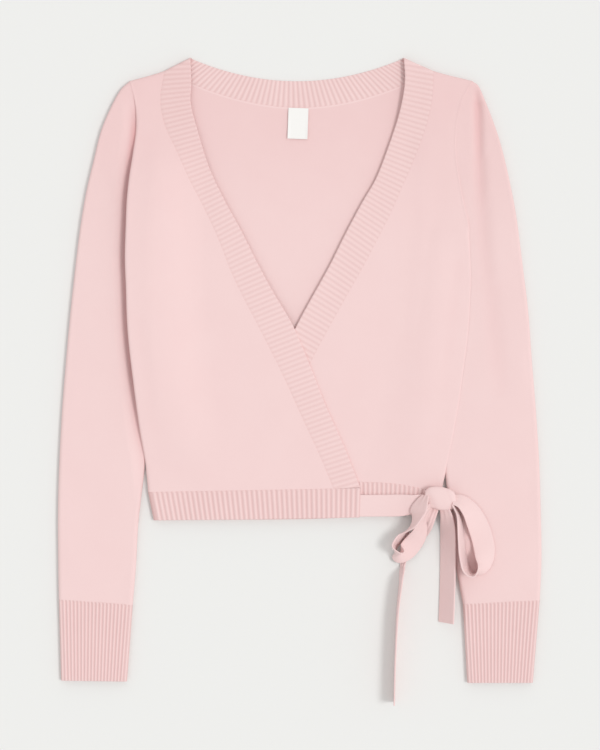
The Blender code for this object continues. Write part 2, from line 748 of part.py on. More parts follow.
def front_hem(side, panel, rows, side_x, far_x):
    def height(x, y, drop, inner, ridge):
        return front_top(side, x, y) - KNIT - drop + (0.0 if inner else RIB_BASE + ridge)

    grids = hem_grids(panel, rows, side_x, far_x, RIBS["hem_front_" + side], height)
    return wall("hem_front_" + side, *grids, "rib_knit")


def back_hem(panel):
    """The hidden hem of the back: plain, and folded up at both sides."""
    def height(x, y, drop, inner, ridge):
        return drop + (RIB_BASE if inner else 0.0)

    grids = hem_grids(panel, HEM_BACK, HEM_RIGHT_SIDE, HEM_LEFT_SIDE, PLAIN_RIBS, height, both_sides=True)
    return wall("hem_back", *grids, "rib_knit")


# Sleeves and cuffs: flat tubes whose sides are round
def sleeve_height(side, x, y):
    """Height of the sleeve: lower where the body lies on it."""
    past = (x - body_x(side, y)) * side_sign(side)
    along = ramp(-y, -PRESSED_TOP[side][1], -PRESSED_TOP[side][0]) * ramp(y, *PRESSED_END)
    return mix(SLEEVE_HEIGHT, SLEEVE_FLAT, ramp(past, -PRESSED_WIDTH, 0.0) * along)


def flat_ring(start, end, shape, height_at, inner, thick, top_steps, low_steps, ridge, folds):
    """Ring of a flattened tube from one side to the other, over the top and back underneath."""
    width = hypot(end[0] - start[0], end[1] - start[1])
    ring = []
    for upper, steps in ((True, top_steps), (False, low_steps)):
        places = []
        for low, sides in ((True, BEND_ANGLES[:-1]), (False, BEND_ANGLES[-2::-1])):
            for angle in sides:
                places.append((angle, low))
            if low:
                places += [(None, step / steps) for step in range(steps + 1)]
        if not upper:
            places = places[1:-1][::-1]
        for angle, side in places:
            x0, y0 = shape(0.5 if angle is None else (0.0 if side else 1.0))
            half = height_at(x0, y0) / 2
            reach = half - (thick if inner else 0.0)
            if angle is None:
                share = mix(half, width - half, side) / width
                turn = 0.0
            else:
                turn = radians(angle)
                distance = half - reach * sin(turn)
                share = distance / width if side else 1 - distance / width
            x, y = shape(share)
            half = height_at(x, y) / 2
            reach = half - (thick if inner else 0.0)
            z = half + (reach if upper else -reach) * cos(turn)
            if upper and angle is None:
                z += fold_height(folds, x, y)
                if ridge and not inner and 0 < side < 1 and round(side * steps) % 2:
                    z += ridge
            ring.append((x, y, z))
    return ring


def sleeve(side):
    rows = SLEEVES[side]
    first = rows[0]
    sign = side_sign(side)

    def armhole(share):
        y = mix(first.outer_y, first.inner_y, share)
        return body_x(side, min(y, SHOULDER_Y)) - sign * 2 * SEAM, y

    grids = []
    for inner in (False, True):
        rings = []
        for number, row in enumerate(rows):
            fade = (1 - number / (len(rows) - 1)) ** FADE_POWER

            def shape(share, row=row, fade=fade):
                curve_x, curve_y = armhole(share)
                x = mix(row.outer_x, row.inner_x, share)
                y = mix(row.outer_y, row.inner_y, share)
                x += fade * (curve_x - mix(first.outer_x, first.inner_x, share))
                y += fade * (curve_y - mix(first.outer_y, first.inner_y, share))
                return x, y

            rings.append(flat_ring(
                shape(0.0), shape(1.0), shape, lambda x, y: sleeve_height(side, x, y),
                inner, KNIT, SLEEVE_COLUMNS, SLEEVE_COLUMNS, 0.0, SLEEVE_FOLDS[side]))
        grids.append(rings)
    return tube("sleeve_" + side, *grids, "plain_knit")


def cuff(side):
    corners = CUFFS[side]
    grids = []
    for inner in (False, True):
        rings = []
        for share in (0.0, 0.5, 1.0):
            start = [mix(a, b, share) for a, b in zip(corners.top_outer, corners.low_outer)]
            end = [mix(a, b, share) for a, b in zip(corners.top_inner, corners.low_inner)]

            def shape(across, start=start, end=end):
                return mix(start[0], end[0], across), mix(start[1], end[1], across)

            rings.append(flat_ring(
                start, end, shape, lambda x, y: CUFF_HEIGHT, inner, RIB_BASE,
                RIBS["cuff"] * 2, CUFF_UNDER_COLUMNS, RIB_HEIGHT, []))
        grids.append(rings)
    return tube("cuff_" + side, *grids, "rib_knit")


# Label, ties and bow
def label():
    width, height = LABEL_SIZE
    tilt = radians(LABEL_TILT)
    across = Vector((cos(tilt), sin(tilt), 0.0))
    down = Vector((sin(tilt), -cos(tilt), 0.0))
    top = Vector((LABEL_TOP[0], LABEL_TOP[1], KNIT + SEAM))
    grids = []
    for z in (LABEL_THICK, 0.0):
        grid = []
        for row in (1.0, 0.0):
            line = [top + across * width * column + down * height * row for column in (-0.5, 0.5)]
            grid.append([(point.x, point.y, point.z + z) for point in line])
        grids.append(grid)
    return wall("label", *grids, "woven_label")


def smooth_rows(rows, steps):
    """Rows of a tie with more rows between them, on a smooth path through all."""
    columns = list(zip(*rows))
    keys = list(range(len(rows)))
    result = []
    for number in range((len(rows) - 1) * steps + 1):
        key = number / steps
        result.append(TieRow(*(smooth_at(keys, column, key) for column in columns)))
    return result


def tie(name, rows, raised_side):
    """Flat tie along its middle line; raised_side is 1 where its left edge goes up, seen along it."""
    path = smooth_rows(rows, TIE_STEPS)
    middle = []
    for row in path:
        tilt = radians(row.tilt)
        rise = row.width / 2 * abs(sin(tilt)) + TIE_THICK / 2 * abs(cos(tilt))
        middle.append(Vector((row.x, row.y, row.rest + rise)))
    rings = []
    for number, row in enumerate(path):
        before, after = middle[max(number - 1, 0)], middle[min(number + 1, len(path) - 1)]
        along = (after - before).normalized()
        level = Vector((-along.y, along.x, 0.0)).normalized() * raised_side
        tilt = radians(row.tilt)
        width = level * cos(tilt) + Vector((0.0, 0.0, sin(tilt)))
        width = (width - along * width.dot(along)).normalized() * row.width / 2
        depth = along.cross(width).normalized() * TIE_THICK / 2
        ring = [middle[number] + width * a + depth * b for a, b in ((1, 1), (-1, 1), (-1, -1), (1, -1))]
        rings.append([tuple(point) for point in ring])
    count = len(rings[0])
    points = [point for ring in rings for point in ring]
    faces = [tuple(range(count))[::-1], tuple(range(len(points) - count, len(points)))]
    for number in range(len(rings) - 1):
        a, b = number * count, (number + 1) * count
        for c in range(count):
            d = (c + 1) % count
            faces.append((a + c, a + d, b + d, b + c))
    return add_body(name, points, faces, "tie_knit")


def knot():
    points = []
    for ring in range(KNOT_RINGS):
        lengthways = pi * (ring + 0.5) / KNOT_RINGS
        for corner in range(KNOT_CORNERS):
            turn = 2 * pi * corner / KNOT_CORNERS
            points.append((
                KNOT_CENTRE[0] - KNOT_HALF[0] * cos(lengthways),
                KNOT_CENTRE[1] + KNOT_HALF[1] * sin(lengthways) * cos(turn),
                KNOT_CENTRE[2] + KNOT_HALF[2] * sin(lengthways) * sin(turn),
            ))
    first_end = tuple(range(KNOT_CORNERS))[::-1]
    last_end = tuple(range(len(points) - KNOT_CORNERS, len(points)))
    faces = [first_end, last_end]
    for ring in range(KNOT_RINGS - 1):
        near = ring * KNOT_CORNERS
        far = near + KNOT_CORNERS
        for corner in range(KNOT_CORNERS):
            after = (corner + 1) % KNOT_CORNERS
            faces.append((near + corner, near + after, far + after, far + corner))
    return add_body("bow_knot", points, faces, "tie_knit")


for old in list(bpy.data.objects):
    bpy.data.objects.remove(old)
bpy.context.scene.unit_settings.scale_length = 1.0

back = back_grids()
wall("back", *back, "plain_knit")
back_neckband()
back_hem(back)
label()

left_front = front_grids("left", HEM_LEFT_FRONT)
wall("front_left", *left_front, "plain_knit")
front_neckband("left", left_front)
front_hem("left", left_front, HEM_LEFT_FRONT, HEM_LEFT_SIDE_FRONT, HEM_LEFT_FAR)

right_front = front_grids("right", HEM_RIGHT_FRONT)
wall("front_right", *right_front, "plain_knit")
front_neckband("right", right_front)
front_hem("right", right_front, HEM_RIGHT_FRONT, HEM_RIGHT_SIDE, HEM_RIGHT_FAR)

for wearer_side in ("right", "left"):
    sleeve(wearer_side)
    cuff(wearer_side)

tie("tie_strap", STRAP, 1)
knot()
tie("bow_loop_inner", LOOP_INNER, 1)
tie("bow_loop_outer", LOOP_OUTER, -1)
tie("tie_end_short", END_SHORT, 1)
tie("tie_end_long", END_LONG, 1)
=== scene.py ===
from collections import namedtuple
from math import cos, pi, radians, sin

import bpy
import numpy as np
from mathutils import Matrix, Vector, noise


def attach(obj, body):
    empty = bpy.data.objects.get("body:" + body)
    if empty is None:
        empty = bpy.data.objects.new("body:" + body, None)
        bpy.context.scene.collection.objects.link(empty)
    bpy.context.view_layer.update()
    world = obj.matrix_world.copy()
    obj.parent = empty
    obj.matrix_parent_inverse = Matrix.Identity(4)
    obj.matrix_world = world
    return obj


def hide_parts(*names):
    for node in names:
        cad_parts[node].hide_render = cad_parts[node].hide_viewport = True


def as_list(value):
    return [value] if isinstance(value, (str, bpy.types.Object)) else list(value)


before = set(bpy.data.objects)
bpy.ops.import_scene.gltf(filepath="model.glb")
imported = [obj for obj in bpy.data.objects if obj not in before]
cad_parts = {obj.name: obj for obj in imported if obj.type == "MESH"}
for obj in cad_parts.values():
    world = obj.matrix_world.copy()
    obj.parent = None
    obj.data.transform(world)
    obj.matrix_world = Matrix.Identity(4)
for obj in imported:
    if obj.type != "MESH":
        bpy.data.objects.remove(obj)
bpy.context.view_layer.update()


# The cardigan lies on its back on a pale, smooth table, seen from straight above.
# One large soft lamp stands on the wearer's left and pale walls fill in the shadows.
VIEW_HEIGHT = 0.7875       # what the camera takes in from top to bottom, in metres
CAMERA_AT = (0.0003, 0.0053)
FOCUS_HEIGHT = 0.006
LENS = 85.0
FILM = 36.0
LAMP_LEAN = 31.0
LAMP_WIDTH = 17.0
LAMP_POWER = 1.10
ROOM_LIGHT = 0.78
TABLE_COLOUR = (0.80, 0.80, 0.785, 1.0)
TABLE_REACH = 9


def put(name, data):
    made = bpy.data.objects.new(name, data)
    scene.collection.objects.link(made)
    return made


def new_finish(name):
    """A material, a maker of its nodes and a setter for its shader; an input is a value or a link."""
    made = bpy.data.materials.new(name)
    made.use_nodes = True
    nodes, links = made.node_tree.nodes, made.node_tree.links

    def fill(node, inputs):
        for key, value in inputs.items():
            if isinstance(value, bpy.types.NodeSocket):
                links.new(value, node.inputs[key])
            else:
                node.inputs[key].default_value = value

    def add(kind, inputs, **settings):
        node = nodes.new("ShaderNode" + kind)
        for key, value in settings.items():
            setattr(node, key, value)
        fill(node, inputs)
        return node.outputs

    return made, add, lambda inputs: fill(nodes["Principled BSDF"], inputs)


scene = bpy.context.scene
scene.view_settings.view_transform = "Standard"
camera = put("camera", bpy.data.cameras.new("camera"))
camera.data.lens = LENS
camera.data.sensor_width = FILM
camera.location = (*CAMERA_AT, VIEW_HEIGHT * LENS / FILM + FOCUS_HEIGHT)
scene.camera = camera

lamp = put("lamp", bpy.data.lights.new("lamp", "SUN"))
lamp.data.energy = LAMP_POWER
lamp.data.angle = radians(LAMP_WIDTH)
lamp.rotation_euler = (0.0, radians(LAMP_LEAN), 0.0)

room = bpy.data.worlds.new("room")
room.use_nodes = True
walls = room.node_tree.nodes["Background"].inputs
walls["Color"].default_value = (1.0, 1.0, 0.995, 1.0)
walls["Strength"].default_value = ROOM_LIGHT
scene.world = room

table_mesh = bpy.data.meshes.new("table")
corners = [(x * TABLE_REACH, y * TABLE_REACH, 0) for x, y in ((-1, -1), (1, -1), (1, 1), (-1, 1))]
table_mesh.from_pydata(corners, [], [(0, 1, 2, 3)])
table = put("table", table_mesh)
table_paint, _, shader = new_finish("table_paint")
shader({"Base Color": TABLE_COLOUR, "Roughness": 0.9, "Specular IOR Level": 0.1})
table_mesh.materials.append(table_paint)


# The back is one flat panel of fine plain knit, shaped at the armholes and the neck.
# Its sides turn up to meet the fronts and ride up where the sleeves lie under them.
MM = 0.001
CENTRE_X = 2.85            # middle of the garment's outline in the tables below
CENTRE_Y = -0.03
KNIT = 2.0                 # thickness of the plain knit
SEAM_HEIGHT = 7.9          # height of the body at its seams with the sleeves and hems
FOLD_RADIUS = SEAM_HEIGHT / 2
WALE = 1.9                 # width of a column of stitches
COURSE = 1.35              # height of a row of stitches
EDGE_HEIGHT = {"right": 5.4, "left": 4.2}   # height of the body at its pressed, folded sides
LIFT = {"right": 11.5, "left": 3.6}         # how far each side rides up on its sleeve
LIFT_FULL = 20.0           # width of the side strip that is lifted fully
LIFT_END = 85.0            # where the lifted strip comes down to the table
LIFT_LOW = {"right": (-117.0, 20.0), "left": (-117.0, -75.0)}   # it grows between these heights
LIFT_HIGH = {"right": (195.0, 285.0), "left": (120.0, 178.0)}
FOLD_END = {"right": (262.0, 290.0), "left": (150.0, 163.0)}   # where the fold ends at the armhole
SIDE_STRIP = 54.0          # width of the columns that follow the side
HEM_Y = -117.0
PRESSED_Y = -75.0          # the side is pressed flat from here up
PRESSED_SHORT = 25.0       # and to this far below the end of its fold
SHOULDER_Y = 314.0
ENDS_POWER = 4             # how soon a panel's rows straighten away from a shaped end
STRIP_COLUMNS = 21
BACK_COLUMNS = 110
NECK_CORNER = 6.0          # the shoulder's turned edge ends this far past the neck's corner
SEAM_PAINTED_HIGHLIGHT = 0.2           # painted highlight: the back neck seam shows as a pale line
SEAM_PLACE = 0.9
SEAM_LINE = 0.8
SHOULDER_PAINTED_SHADE = 0.16      # painted shade: the knit is drawn darker towards the shoulders
SHADED = (120.0, 330.0)
ROW = 2.6                  # spacing of the rows of the panels
SHARP = radians(50)


def rows_of(kind, *rows):
    """A table whose rows have the named columns of their kind."""
    return [kind(*row) for row in rows]


BodyRow = namedtuple("BodyRow", "y right_x left_x")
BODY_EDGES = rows_of(BodyRow,
    (314, -176, 185), (290, -170, 173.5), (265, -169, 168), (238, -172, 167), (213, -175.5, 170),
    (188, -178, 174.5), (163, -179, 180), (130, -180, 182.5), (100, -179, 183), (50, -177, 180),
    (0, -171.5, 173.5), (-50, -165.3, 165), (-86, -159.5, 157.5), (-117, -156.5, 151)
)
NECK_POINT = {"right": (-112.0, 339.0), "left": (112.0, 338.5)}
SHOULDER_SEAM = {"right": (-139.0, 325.0), "left": (143.0, 325.0)}
BACK_NECK_SEAM_Y = 286.5
BACK_NECK_POWER = 1.9
HemRow = namedtuple("HemRow", "x seam_y edge_y")
HEM_BACK = rows_of(HemRow,
    (-156.5, -117.5, -147.5), (0, -116, -146.5), (62, -115.6, -144), (84, -115.4, -140.5),
    (151, -115, -132)
)

PLAIN_COLOUR = (0.902, 0.707, 0.694, 1.0)
PLAIN_SHADE = (0.72, 0.40, 0.40, 1.0)


def mix(a, b, t):
    return a + (b - a) * t


def ramp(value, low, high):
    return np.clip((value - low) / (high - low), 0.0, 1.0)


def soft_ramp(value, low, high):
    t = ramp(value, low, high)
    return t * t * (3.0 - 2.0 * t)


def smooth_at(keys, values, at):
    """Values at places on a smooth curve through a table's column, in rising key order."""
    keys = np.asarray(keys, float)
    values = np.asarray(values, float)
    last = len(keys) - 1
    before = np.maximum(np.arange(last + 1) - 1, 0)
    after = np.minimum(np.arange(last + 1) + 1, last)
    slopes = (values[after] - values[before]) / (keys[after] - keys[before])
    i = np.clip(np.searchsorted(keys, at) - 1, 0, last - 1)
    span = keys[i + 1] - keys[i]
    t = (at - keys[i]) / span
    ends = values[i] * (1 + 2 * t) * (1 - t) ** 2 + values[i + 1] * t * t * (3 - 2 * t)
    return ends + span * (slopes[i] * t * (1 - t) ** 2 - slopes[i + 1] * t * t * (1 - t))


def table_at(rows, key, at, value):
    points = sorted((getattr(row, key), getattr(row, value)) for row in rows)
    return smooth_at(*zip(*points), at)


def columns_at(rows, at):
    """Every column of a table at places counted in rows."""
    return [smooth_at(np.arange(len(rows)), column, at) for column in zip(*rows)]


def side_sign(side):
    """Direction of x from the body's side inwards."""
    return 1 if side == "right" else -1


def body_x(side, y):
    return table_at(BODY_EDGES, "y", np.clip(y, HEM_Y, SHOULDER_Y), side + "_x")


def lift_at(side, x, y):
    """How far the body's side is raised by the sleeve under it."""
    full, none = LIFT_HIGH[side]
    across = 1.0 - soft_ramp((x - body_x(side, y)) * side_sign(side), LIFT_FULL, LIFT_END)
    return LIFT[side] * across * soft_ramp(y, *LIFT_LOW[side]) * soft_ramp(-y, -none, -full)


def edge_height(side, y):
    """Height of the body at its side: pressed flat between the hem and the armhole seam."""
    end, high = FOLD_END[side]
    pressed = soft_ramp(y, HEM_Y, PRESSED_Y) * soft_ramp(-y, -high, PRESSED_SHORT - end)
    return mix(SEAM_HEIGHT, EDGE_HEIGHT[side], pressed)


def shoulder_y(side, x):
    """Height of the shoulder seam between the armhole and the neck point."""
    ends = [(float(body_x(side, SHOULDER_Y)), SHOULDER_Y), SHOULDER_SEAM[side], NECK_POINT[side]]
    return smooth_at(*zip(*sorted(ends)), x)


def neck_seam_y(x):
    """Seam of the back neck band."""
    middle = (SHOULDER_SEAM["left"][0] + SHOULDER_SEAM["right"][0]) / 2
    reach = SHOULDER_SEAM["left"][0] - middle
    rise = SHOULDER_SEAM["left"][1] - BACK_NECK_SEAM_Y
    return BACK_NECK_SEAM_Y + rise * np.minimum(1.0, np.abs(x - middle) / reach) ** BACK_NECK_POWER


def turned_edge(thickness, inner, amount=1.0, radius=FOLD_RADIUS):
    """A folded edge from its outside inwards: distance from the edge and drop of the surface."""
    angle = np.linspace(pi / 2, 0.0, 7)
    start = thickness * amount if inner else 0.0
    reach = (radius - thickness if inner else radius) * amount
    return start + (radius - start) * (1 - np.sin(angle)), reach * (1 - np.cos(angle))


def softness(x, y, size, height, seed):
    """The faint unevenness of cloth that was smoothed by hand."""
    flat = zip(np.ravel(x) / size, np.ravel(y) / size)
    values = [noise.noise(Vector((a, b, seed))) for a, b in flat]
    return height * np.reshape(values, np.shape(x))


def quads(index):
    """Four-cornered faces between the points of a grid."""
    corners = [index[:-1, :-1], index[:-1, 1:], index[1:, 1:], index[1:, :-1]]
    return np.stack(corners, axis=-1).reshape(-1, 4)


def counted_mesh(name, points, faces, stitches, finish):
    """Mesh in the frame, with the stitch counts that its knit is drawn from and its painted shade and
    highlight.
    """
    mesh = bpy.data.meshes.new(name)
    mesh.from_pydata(((points.reshape(-1, 3) - (CENTRE_X, CENTRE_Y, 0.0)) * MM).tolist(), [], faces)
    counts = mesh.attributes.new("stitches", "FLOAT_VECTOR", "POINT")
    counts.data.foreach_set("vector", stitches.ravel())
    mesh.materials.append(finish)
    return mesh


def lay_piece(mesh, node):
    piece = put(mesh.name, mesh)
    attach(piece, "root")
    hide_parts(node)
    return piece


def knit_piece(name, node, cloth, finish, ring=False):
    """Closed piece of knit between an outer and an inner grid of points in millimetres."""
    (outer, inner), stitches = cloth
    rows, columns = outer.shape[:2]
    points = np.concatenate([outer.reshape(-1, 3), inner.reshape(-1, 3)])
    index = np.arange(rows * columns).reshape(rows, columns)
    if ring:
        index = np.concatenate([index, index[:, :1]], axis=1)
    top = quads(index)
    size = rows * columns
    faces = [top, top[:, ::-1] + size]
    borders = [index[0, ::-1], index[-1, :]]
    if not ring:
        borders += [index[:, 0], index[::-1, -1]]
    for line in borders:
        faces.append(np.stack([line[:-1], line[1:], line[1:] + size, line[:-1] + size], axis=-1))
    faces = np.concatenate(faces)
    corner = points[faces]
    volume = 0.0
    for a, b, c in ((0, 1, 2), (0, 2, 3)):
        volume += np.sum(corner[:, a] * np.cross(corner[:, b], corner[:, c]))
    if volume < 0:
        faces = faces[:, ::-1]
    both = np.concatenate([stitches.reshape(-1, 3)] * 2)
    mesh = counted_mesh(name, points, faces.tolist(), both, finish)
    mesh.set_sharp_from_angle(angle=SHARP)
    return lay_piece(mesh, node)


def knit_finish(name, colour, shade, relief, sheen):
    """Soft knit: rows of V stitches from the counts on the mesh, with short fibres over them."""
    made, add, shader = new_finish(name)

    def maths(operation, *values):
        return add("Math", dict(enumerate(values)), operation=operation)[0]

    counts = add("Attribute", {}, attribute_name="stitches")["Vector"]
    # the third count is painted shade, and painted highlight where it is below nought
    wale, course, painted_light = add("SeparateXYZ", {0: counts})
    half = maths("ABSOLUTE", maths("SUBTRACT", maths("FRACT", wale), 0.5))
    legs = maths("ABSOLUTE", maths("SINE", maths("MULTIPLY", wale, 2 * pi)))
    slant = maths("MULTIPLY_ADD", half, 1.7, course)
    loops = maths("ABSOLUTE", maths("SINE", maths("MULTIPLY", slant, pi)))
    stitch = maths("MULTIPLY", maths("POWER", legs, 0.6), maths("MULTIPLY_ADD", loops, 0.55, 0.45))

    spot = add("TexCoord", {})["Object"]
    fibre = add("TexNoise", {"Vector": spot, "Scale": 1500.0, "Detail": 3.0, "Roughness": 0.6})["Fac"]
    cloud = add("TexNoise", {"Vector": spot, "Scale": 26.0, "Detail": 2.0})["Fac"]

    # painted shade: each stitch is drawn darker where it is low
    depth = maths("MULTIPLY_ADD", stitch, -0.055, 0.26)
    tuft = maths("MULTIPLY_ADD", fibre, 0.13, -0.065)
    drift = maths("MULTIPLY_ADD", cloud, 0.08, -0.04)
    darkness = maths("ADD", maths("ADD", depth, tuft), maths("ADD", drift, painted_light))
    tone = add("Mix", {"A": colour, "B": shade, "Factor": darkness}, data_type="RGBA", clamp_factor=True)
    height = maths("MULTIPLY_ADD", fibre, 0.5, stitch)
    bump = add("Bump", {"Strength": relief, "Distance": 0.0004, "Height": height})
    shader({
        "Base Color": tone["Result"], "Normal": bump["Normal"], "Roughness": 0.95,
        "Specular IOR Level": 0.15, "Sheen Weight": sheen, "Sheen Roughness": 0.6,
        "Sheen Tint": (1.0, 0.93, 0.92, 1.0),
    })
    return made


plain_knit = knit_finish("plain_knit", PLAIN_COLOUR, PLAIN_SHADE, 0.35, 0.12)


def plain_stitches(shown, extra_painted_light):
    """Wale and course counts on the shown side of a panel, and its painted shade and highlight, with
    painted shade towards the shoulders.
    """
    tone = extra_painted_light + SHOULDER_PAINTED_SHADE * soft_ramp(shown[..., 1], *SHADED)
    return np.stack([shown[..., 0] / WALE, shown[..., 1] / COURSE, tone], axis=-1)


def panel_levels(inner):
    """Height of each row of a panel and its drop over the shoulder."""
    count = int((SHOULDER_Y - FOLD_RADIUS - HEM_Y) / ROW)
    distance, drop = turned_edge(KNIT, inner)
    flat = np.linspace(HEM_Y, SHOULDER_Y - FOLD_RADIUS, count)[:-1]
    y = np.concatenate([flat, SHOULDER_Y - distance[::-1]])
    return y[:, None], np.concatenate([np.zeros(count - 1), drop[::-1]])[:, None]


def fold_share(side, y):
    """1 where the body's side is folded, 0 where a sleeve is sewn to its edge."""
    return 1.0 - ramp(y, *FOLD_END[side])


def side_strip(side, y, inner, places):
    """x, distance from the side and drop of the columns that start at the body's side."""
    amount = fold_share(side, y)
    distance, drop = turned_edge(KNIT, inner, amount, edge_height(side, y) / 2)
    distance = np.concatenate([distance, places[:, 1:]], axis=1)
    drop = np.concatenate([drop, 0 * places[:, 1:]], axis=1)
    return body_x(side, y) + side_sign(side) * distance, distance, drop


def back_panel():
    grids = []
    for inner in (False, True):
        y, shoulder_drop = panel_levels(inner)
        places = np.linspace(FOLD_RADIUS, SIDE_STRIP, STRIP_COLUMNS)[None, :] + 0 * y
        right_x, right_distance, right_drop = side_strip("right", y, inner, places)
        left_x, left_distance, left_drop = side_strip("left", y, inner, places)
        steps = np.linspace(0.0, 1.0, BACK_COLUMNS)[None, 1:-1]
        neck_width = SHOULDER_SEAM["left"][0] - SHOULDER_SEAM["right"][0]
        from_corner = np.minimum(steps, 1 - steps) * neck_width
        corner = 1 - ramp(from_corner, 0, NECK_CORNER)
        turned = np.concatenate([0 * right_x + 1, corner + 0 * y, 0 * left_x + 1], axis=1)
        y = mix(panel_levels(False)[0], y, turned)
        share = (y - HEM_Y) / (SHOULDER_Y - HEM_Y)
        low, high = (1 - share) ** ENDS_POWER, share ** ENDS_POWER
        middle_x = mix(right_x[:, -1:], left_x[:, -1:], steps)
        neck_x = mix(SHOULDER_SEAM["right"][0], SHOULDER_SEAM["left"][0], steps) + 0 * middle_x
        goal_right = mix(right_x[:, :1], SHOULDER_SEAM["right"][0], right_distance / SIDE_STRIP)
        goal_left = mix(left_x[:, :1], SHOULDER_SEAM["left"][0], left_distance / SIDE_STRIP)
        x = np.concatenate([right_x, middle_x, left_x[:, ::-1]], axis=1)
        goal_x = np.concatenate([goal_right, neck_x, goal_left[:, ::-1]], axis=1)
        shoulders = shoulder_y("right", goal_right), shoulder_y("left", goal_left)[:, ::-1]
        goal_y = np.concatenate([shoulders[0], neck_seam_y(neck_x), shoulders[1]], axis=1)
        lift = np.maximum(lift_at("right", x, y), lift_at("left", x, y))
        drop = np.concatenate([right_drop, 0 * middle_x, left_drop[:, ::-1]], axis=1)
        x = x + high * (goal_x - x)
        level = y + (table_at(HEM_BACK, "x", x, "seam_y") - HEM_Y) * low + (goal_y - SHOULDER_Y) * high
        z = np.maximum(drop, shoulder_drop * turned) + lift + (KNIT if inner else 0.0)
        grids.append(np.stack([x, level, z], axis=-1))
    # painted highlight along the back neck seam
    painted_highlight = -SEAM_PAINTED_HIGHLIGHT * np.exp(-((goal_y - SEAM_PLACE - level) / SEAM_LINE) ** 2) * (1 - turned)
    return grids, plain_stitches(grids[1], painted_highlight)


back = knit_piece("knit_back", "back", back_panel(), plain_knit)


# The hem of the back is a band of one-by-one rib, knitted on and worn single.
# It hides under the fronts, with its ridges down on the table.
RIB_BASE = 1.8
RIB_HEIGHT = 0.9
RIB_STEPS = 8              # points across one rib
RIB_GROWS = 1.6            # a rib rises over this length from the seam
EDGE_WAVE = 0.35           # the free edge stands out a little at each rib
WAVE_WIDTH = 4.0
EDGE_ROUND = 0.9
HEM_WIDTH = 30.0
RIB_COLOUR = (0.925, 0.715, 0.702, 1.0)
RIB_SHADE = (0.62, 0.36, 0.35, 1.0)
RIB_VALLEY_PAINTED_SHADE = 0.36          # painted shade between two ribs of a hem or cuff: share of the deeper tone
BAND_RIDGE = 0.5           # the ribs of the neckbands are pressed flatter
# painted shade between the ribs of the front neckbands and of the back neck band
BAND_VALLEY_PAINTED_SHADE = 0.19
BACK_NECK_VALLEY_PAINTED_SHADE = 0.304
HEM_RIGHT_SIDE = (-156.5, -150.5)
HEM_LEFT_SIDE = (151.0, 148.0)
BACK_HEM_RIBS = 84

rib_knit = knit_finish("rib_knit", RIB_COLOUR, RIB_SHADE, 0.3, 0.12)


def ridge(phase):
    """Rounded profile of the ribs, 0 in a valley and 1 on a ridge."""
    return np.sin(pi * phase) ** 2


def widthways(width):
    """Places across a band from its seam to its free edge, close together near both."""
    near = [0.0, 0.35, 0.8, 1.5, 2.6]
    far = width - EDGE_ROUND * np.array([1.0, 0.55, 0.25, 0.06, 0.0])
    return np.concatenate([near, np.linspace(4.0, width - 2.0, 14), far])


def edge_round_off(places, width, radius):
    """Share of a band's half thickness that is left near its free edge."""
    inside = np.clip((width - places) / radius, 0.0, 1.0)
    return np.sqrt(np.clip(1 - (1 - inside) ** 2, 0.02, 1.0))


# Stitch counts of a rib, with painted shade in its valleys
def rib_stitches(phase, down, painted_light=RIB_VALLEY_PAINTED_SHADE):
    phase, down = np.broadcast_arrays(phase, down[:, None])
    return np.stack([2 * phase - 0.5, down / COURSE, painted_light * (1 - ridge(phase)) ** 1.5], axis=-1)


def rib_run(length, ribs, inner, turned=(True, True)):
    """Places along a rib piece, the drop over its turned ends and the rib phase, at each place."""
    distance, drop = (values[:-1] for values in turned_edge(RIB_BASE, inner))
    share = np.linspace(0.0, 1.0, ribs * RIB_STEPS + 1)
    run = [mix(FOLD_RADIUS * turned[0], length - FOLD_RADIUS * turned[1], share), 0 * share, share * ribs]
    if turned[0]:
        run = [np.concatenate(pair) for pair in zip((distance, drop, 0 * drop), run)]
    if turned[1]:
        end = (length - distance[::-1], drop[::-1], 0 * drop)
        run = [np.concatenate(pair) for pair in zip(run, end)]
    return run


def rib_cut(phases, down, width, height, inner):
    """Height of a band's outer or inner face over its underside, round at the free edge."""
    middle = RIB_BASE / 2
    left = edge_round_off(down, width, EDGE_ROUND)[:, None]
    rib = ridge(phases) * soft_ramp(down, 0.0, RIB_GROWS)[:, None]
    return middle - middle * left if inner else middle + (RIB_BASE + height * rib - middle) * left


def hem_band(rows, side_x, far_x, ribs, height_at, both_sides):
    """Grids of a rib hem, turned where it meets the body's side."""
    down = widthways(HEM_WIDTH)
    t = (down / HEM_WIDTH)[:, None]
    grids = []
    for inner in (False, True):
        lines = []
        for end, column in enumerate(("seam_y", "edge_y")):
            full = abs(far_x[end] - side_x[end])
            places, drops, phases = rib_run(full, ribs, inner, (True, both_sides))
            x = mix(side_x[end], far_x[end], places / full)
            lines.append((x, table_at(rows, "x", x, column)))
        x = mix(lines[0][0], lines[1][0], t)
        y = mix(lines[0][1], lines[1][1], t)
        wave = soft_ramp(down, HEM_WIDTH - WAVE_WIDTH, HEM_WIDTH)[:, None]
        y = y - EDGE_WAVE * (ridge(phases) - 0.5) * wave
        cut = rib_cut(phases, down, HEM_WIDTH, RIB_HEIGHT, inner)
        grids.append(np.stack([x, y, height_at(x, y, drops, cut)], axis=-1))
    return grids, rib_stitches(phases, down)


def back_hem_height(x, y, drop, cut):
    return drop + RIB_BASE + RIB_HEIGHT - cut


back_hem_band = hem_band(HEM_BACK, HEM_RIGHT_SIDE, HEM_LEFT_SIDE, BACK_HEM_RIBS, back_hem_height, True)
back_hem = knit_piece("rib_hem_back", "hem_back", back_hem_band, rib_knit)


# The back neck band is a strip of the same rib, sewn round the back of the neck.
# Its ribs run from the seam to the free edge and show between the fronts.
BACK_NECK_EDGE_Y = 314.5
BACK_NECK_RIBS = 50
NECKBAND_WIDTH = 28.0


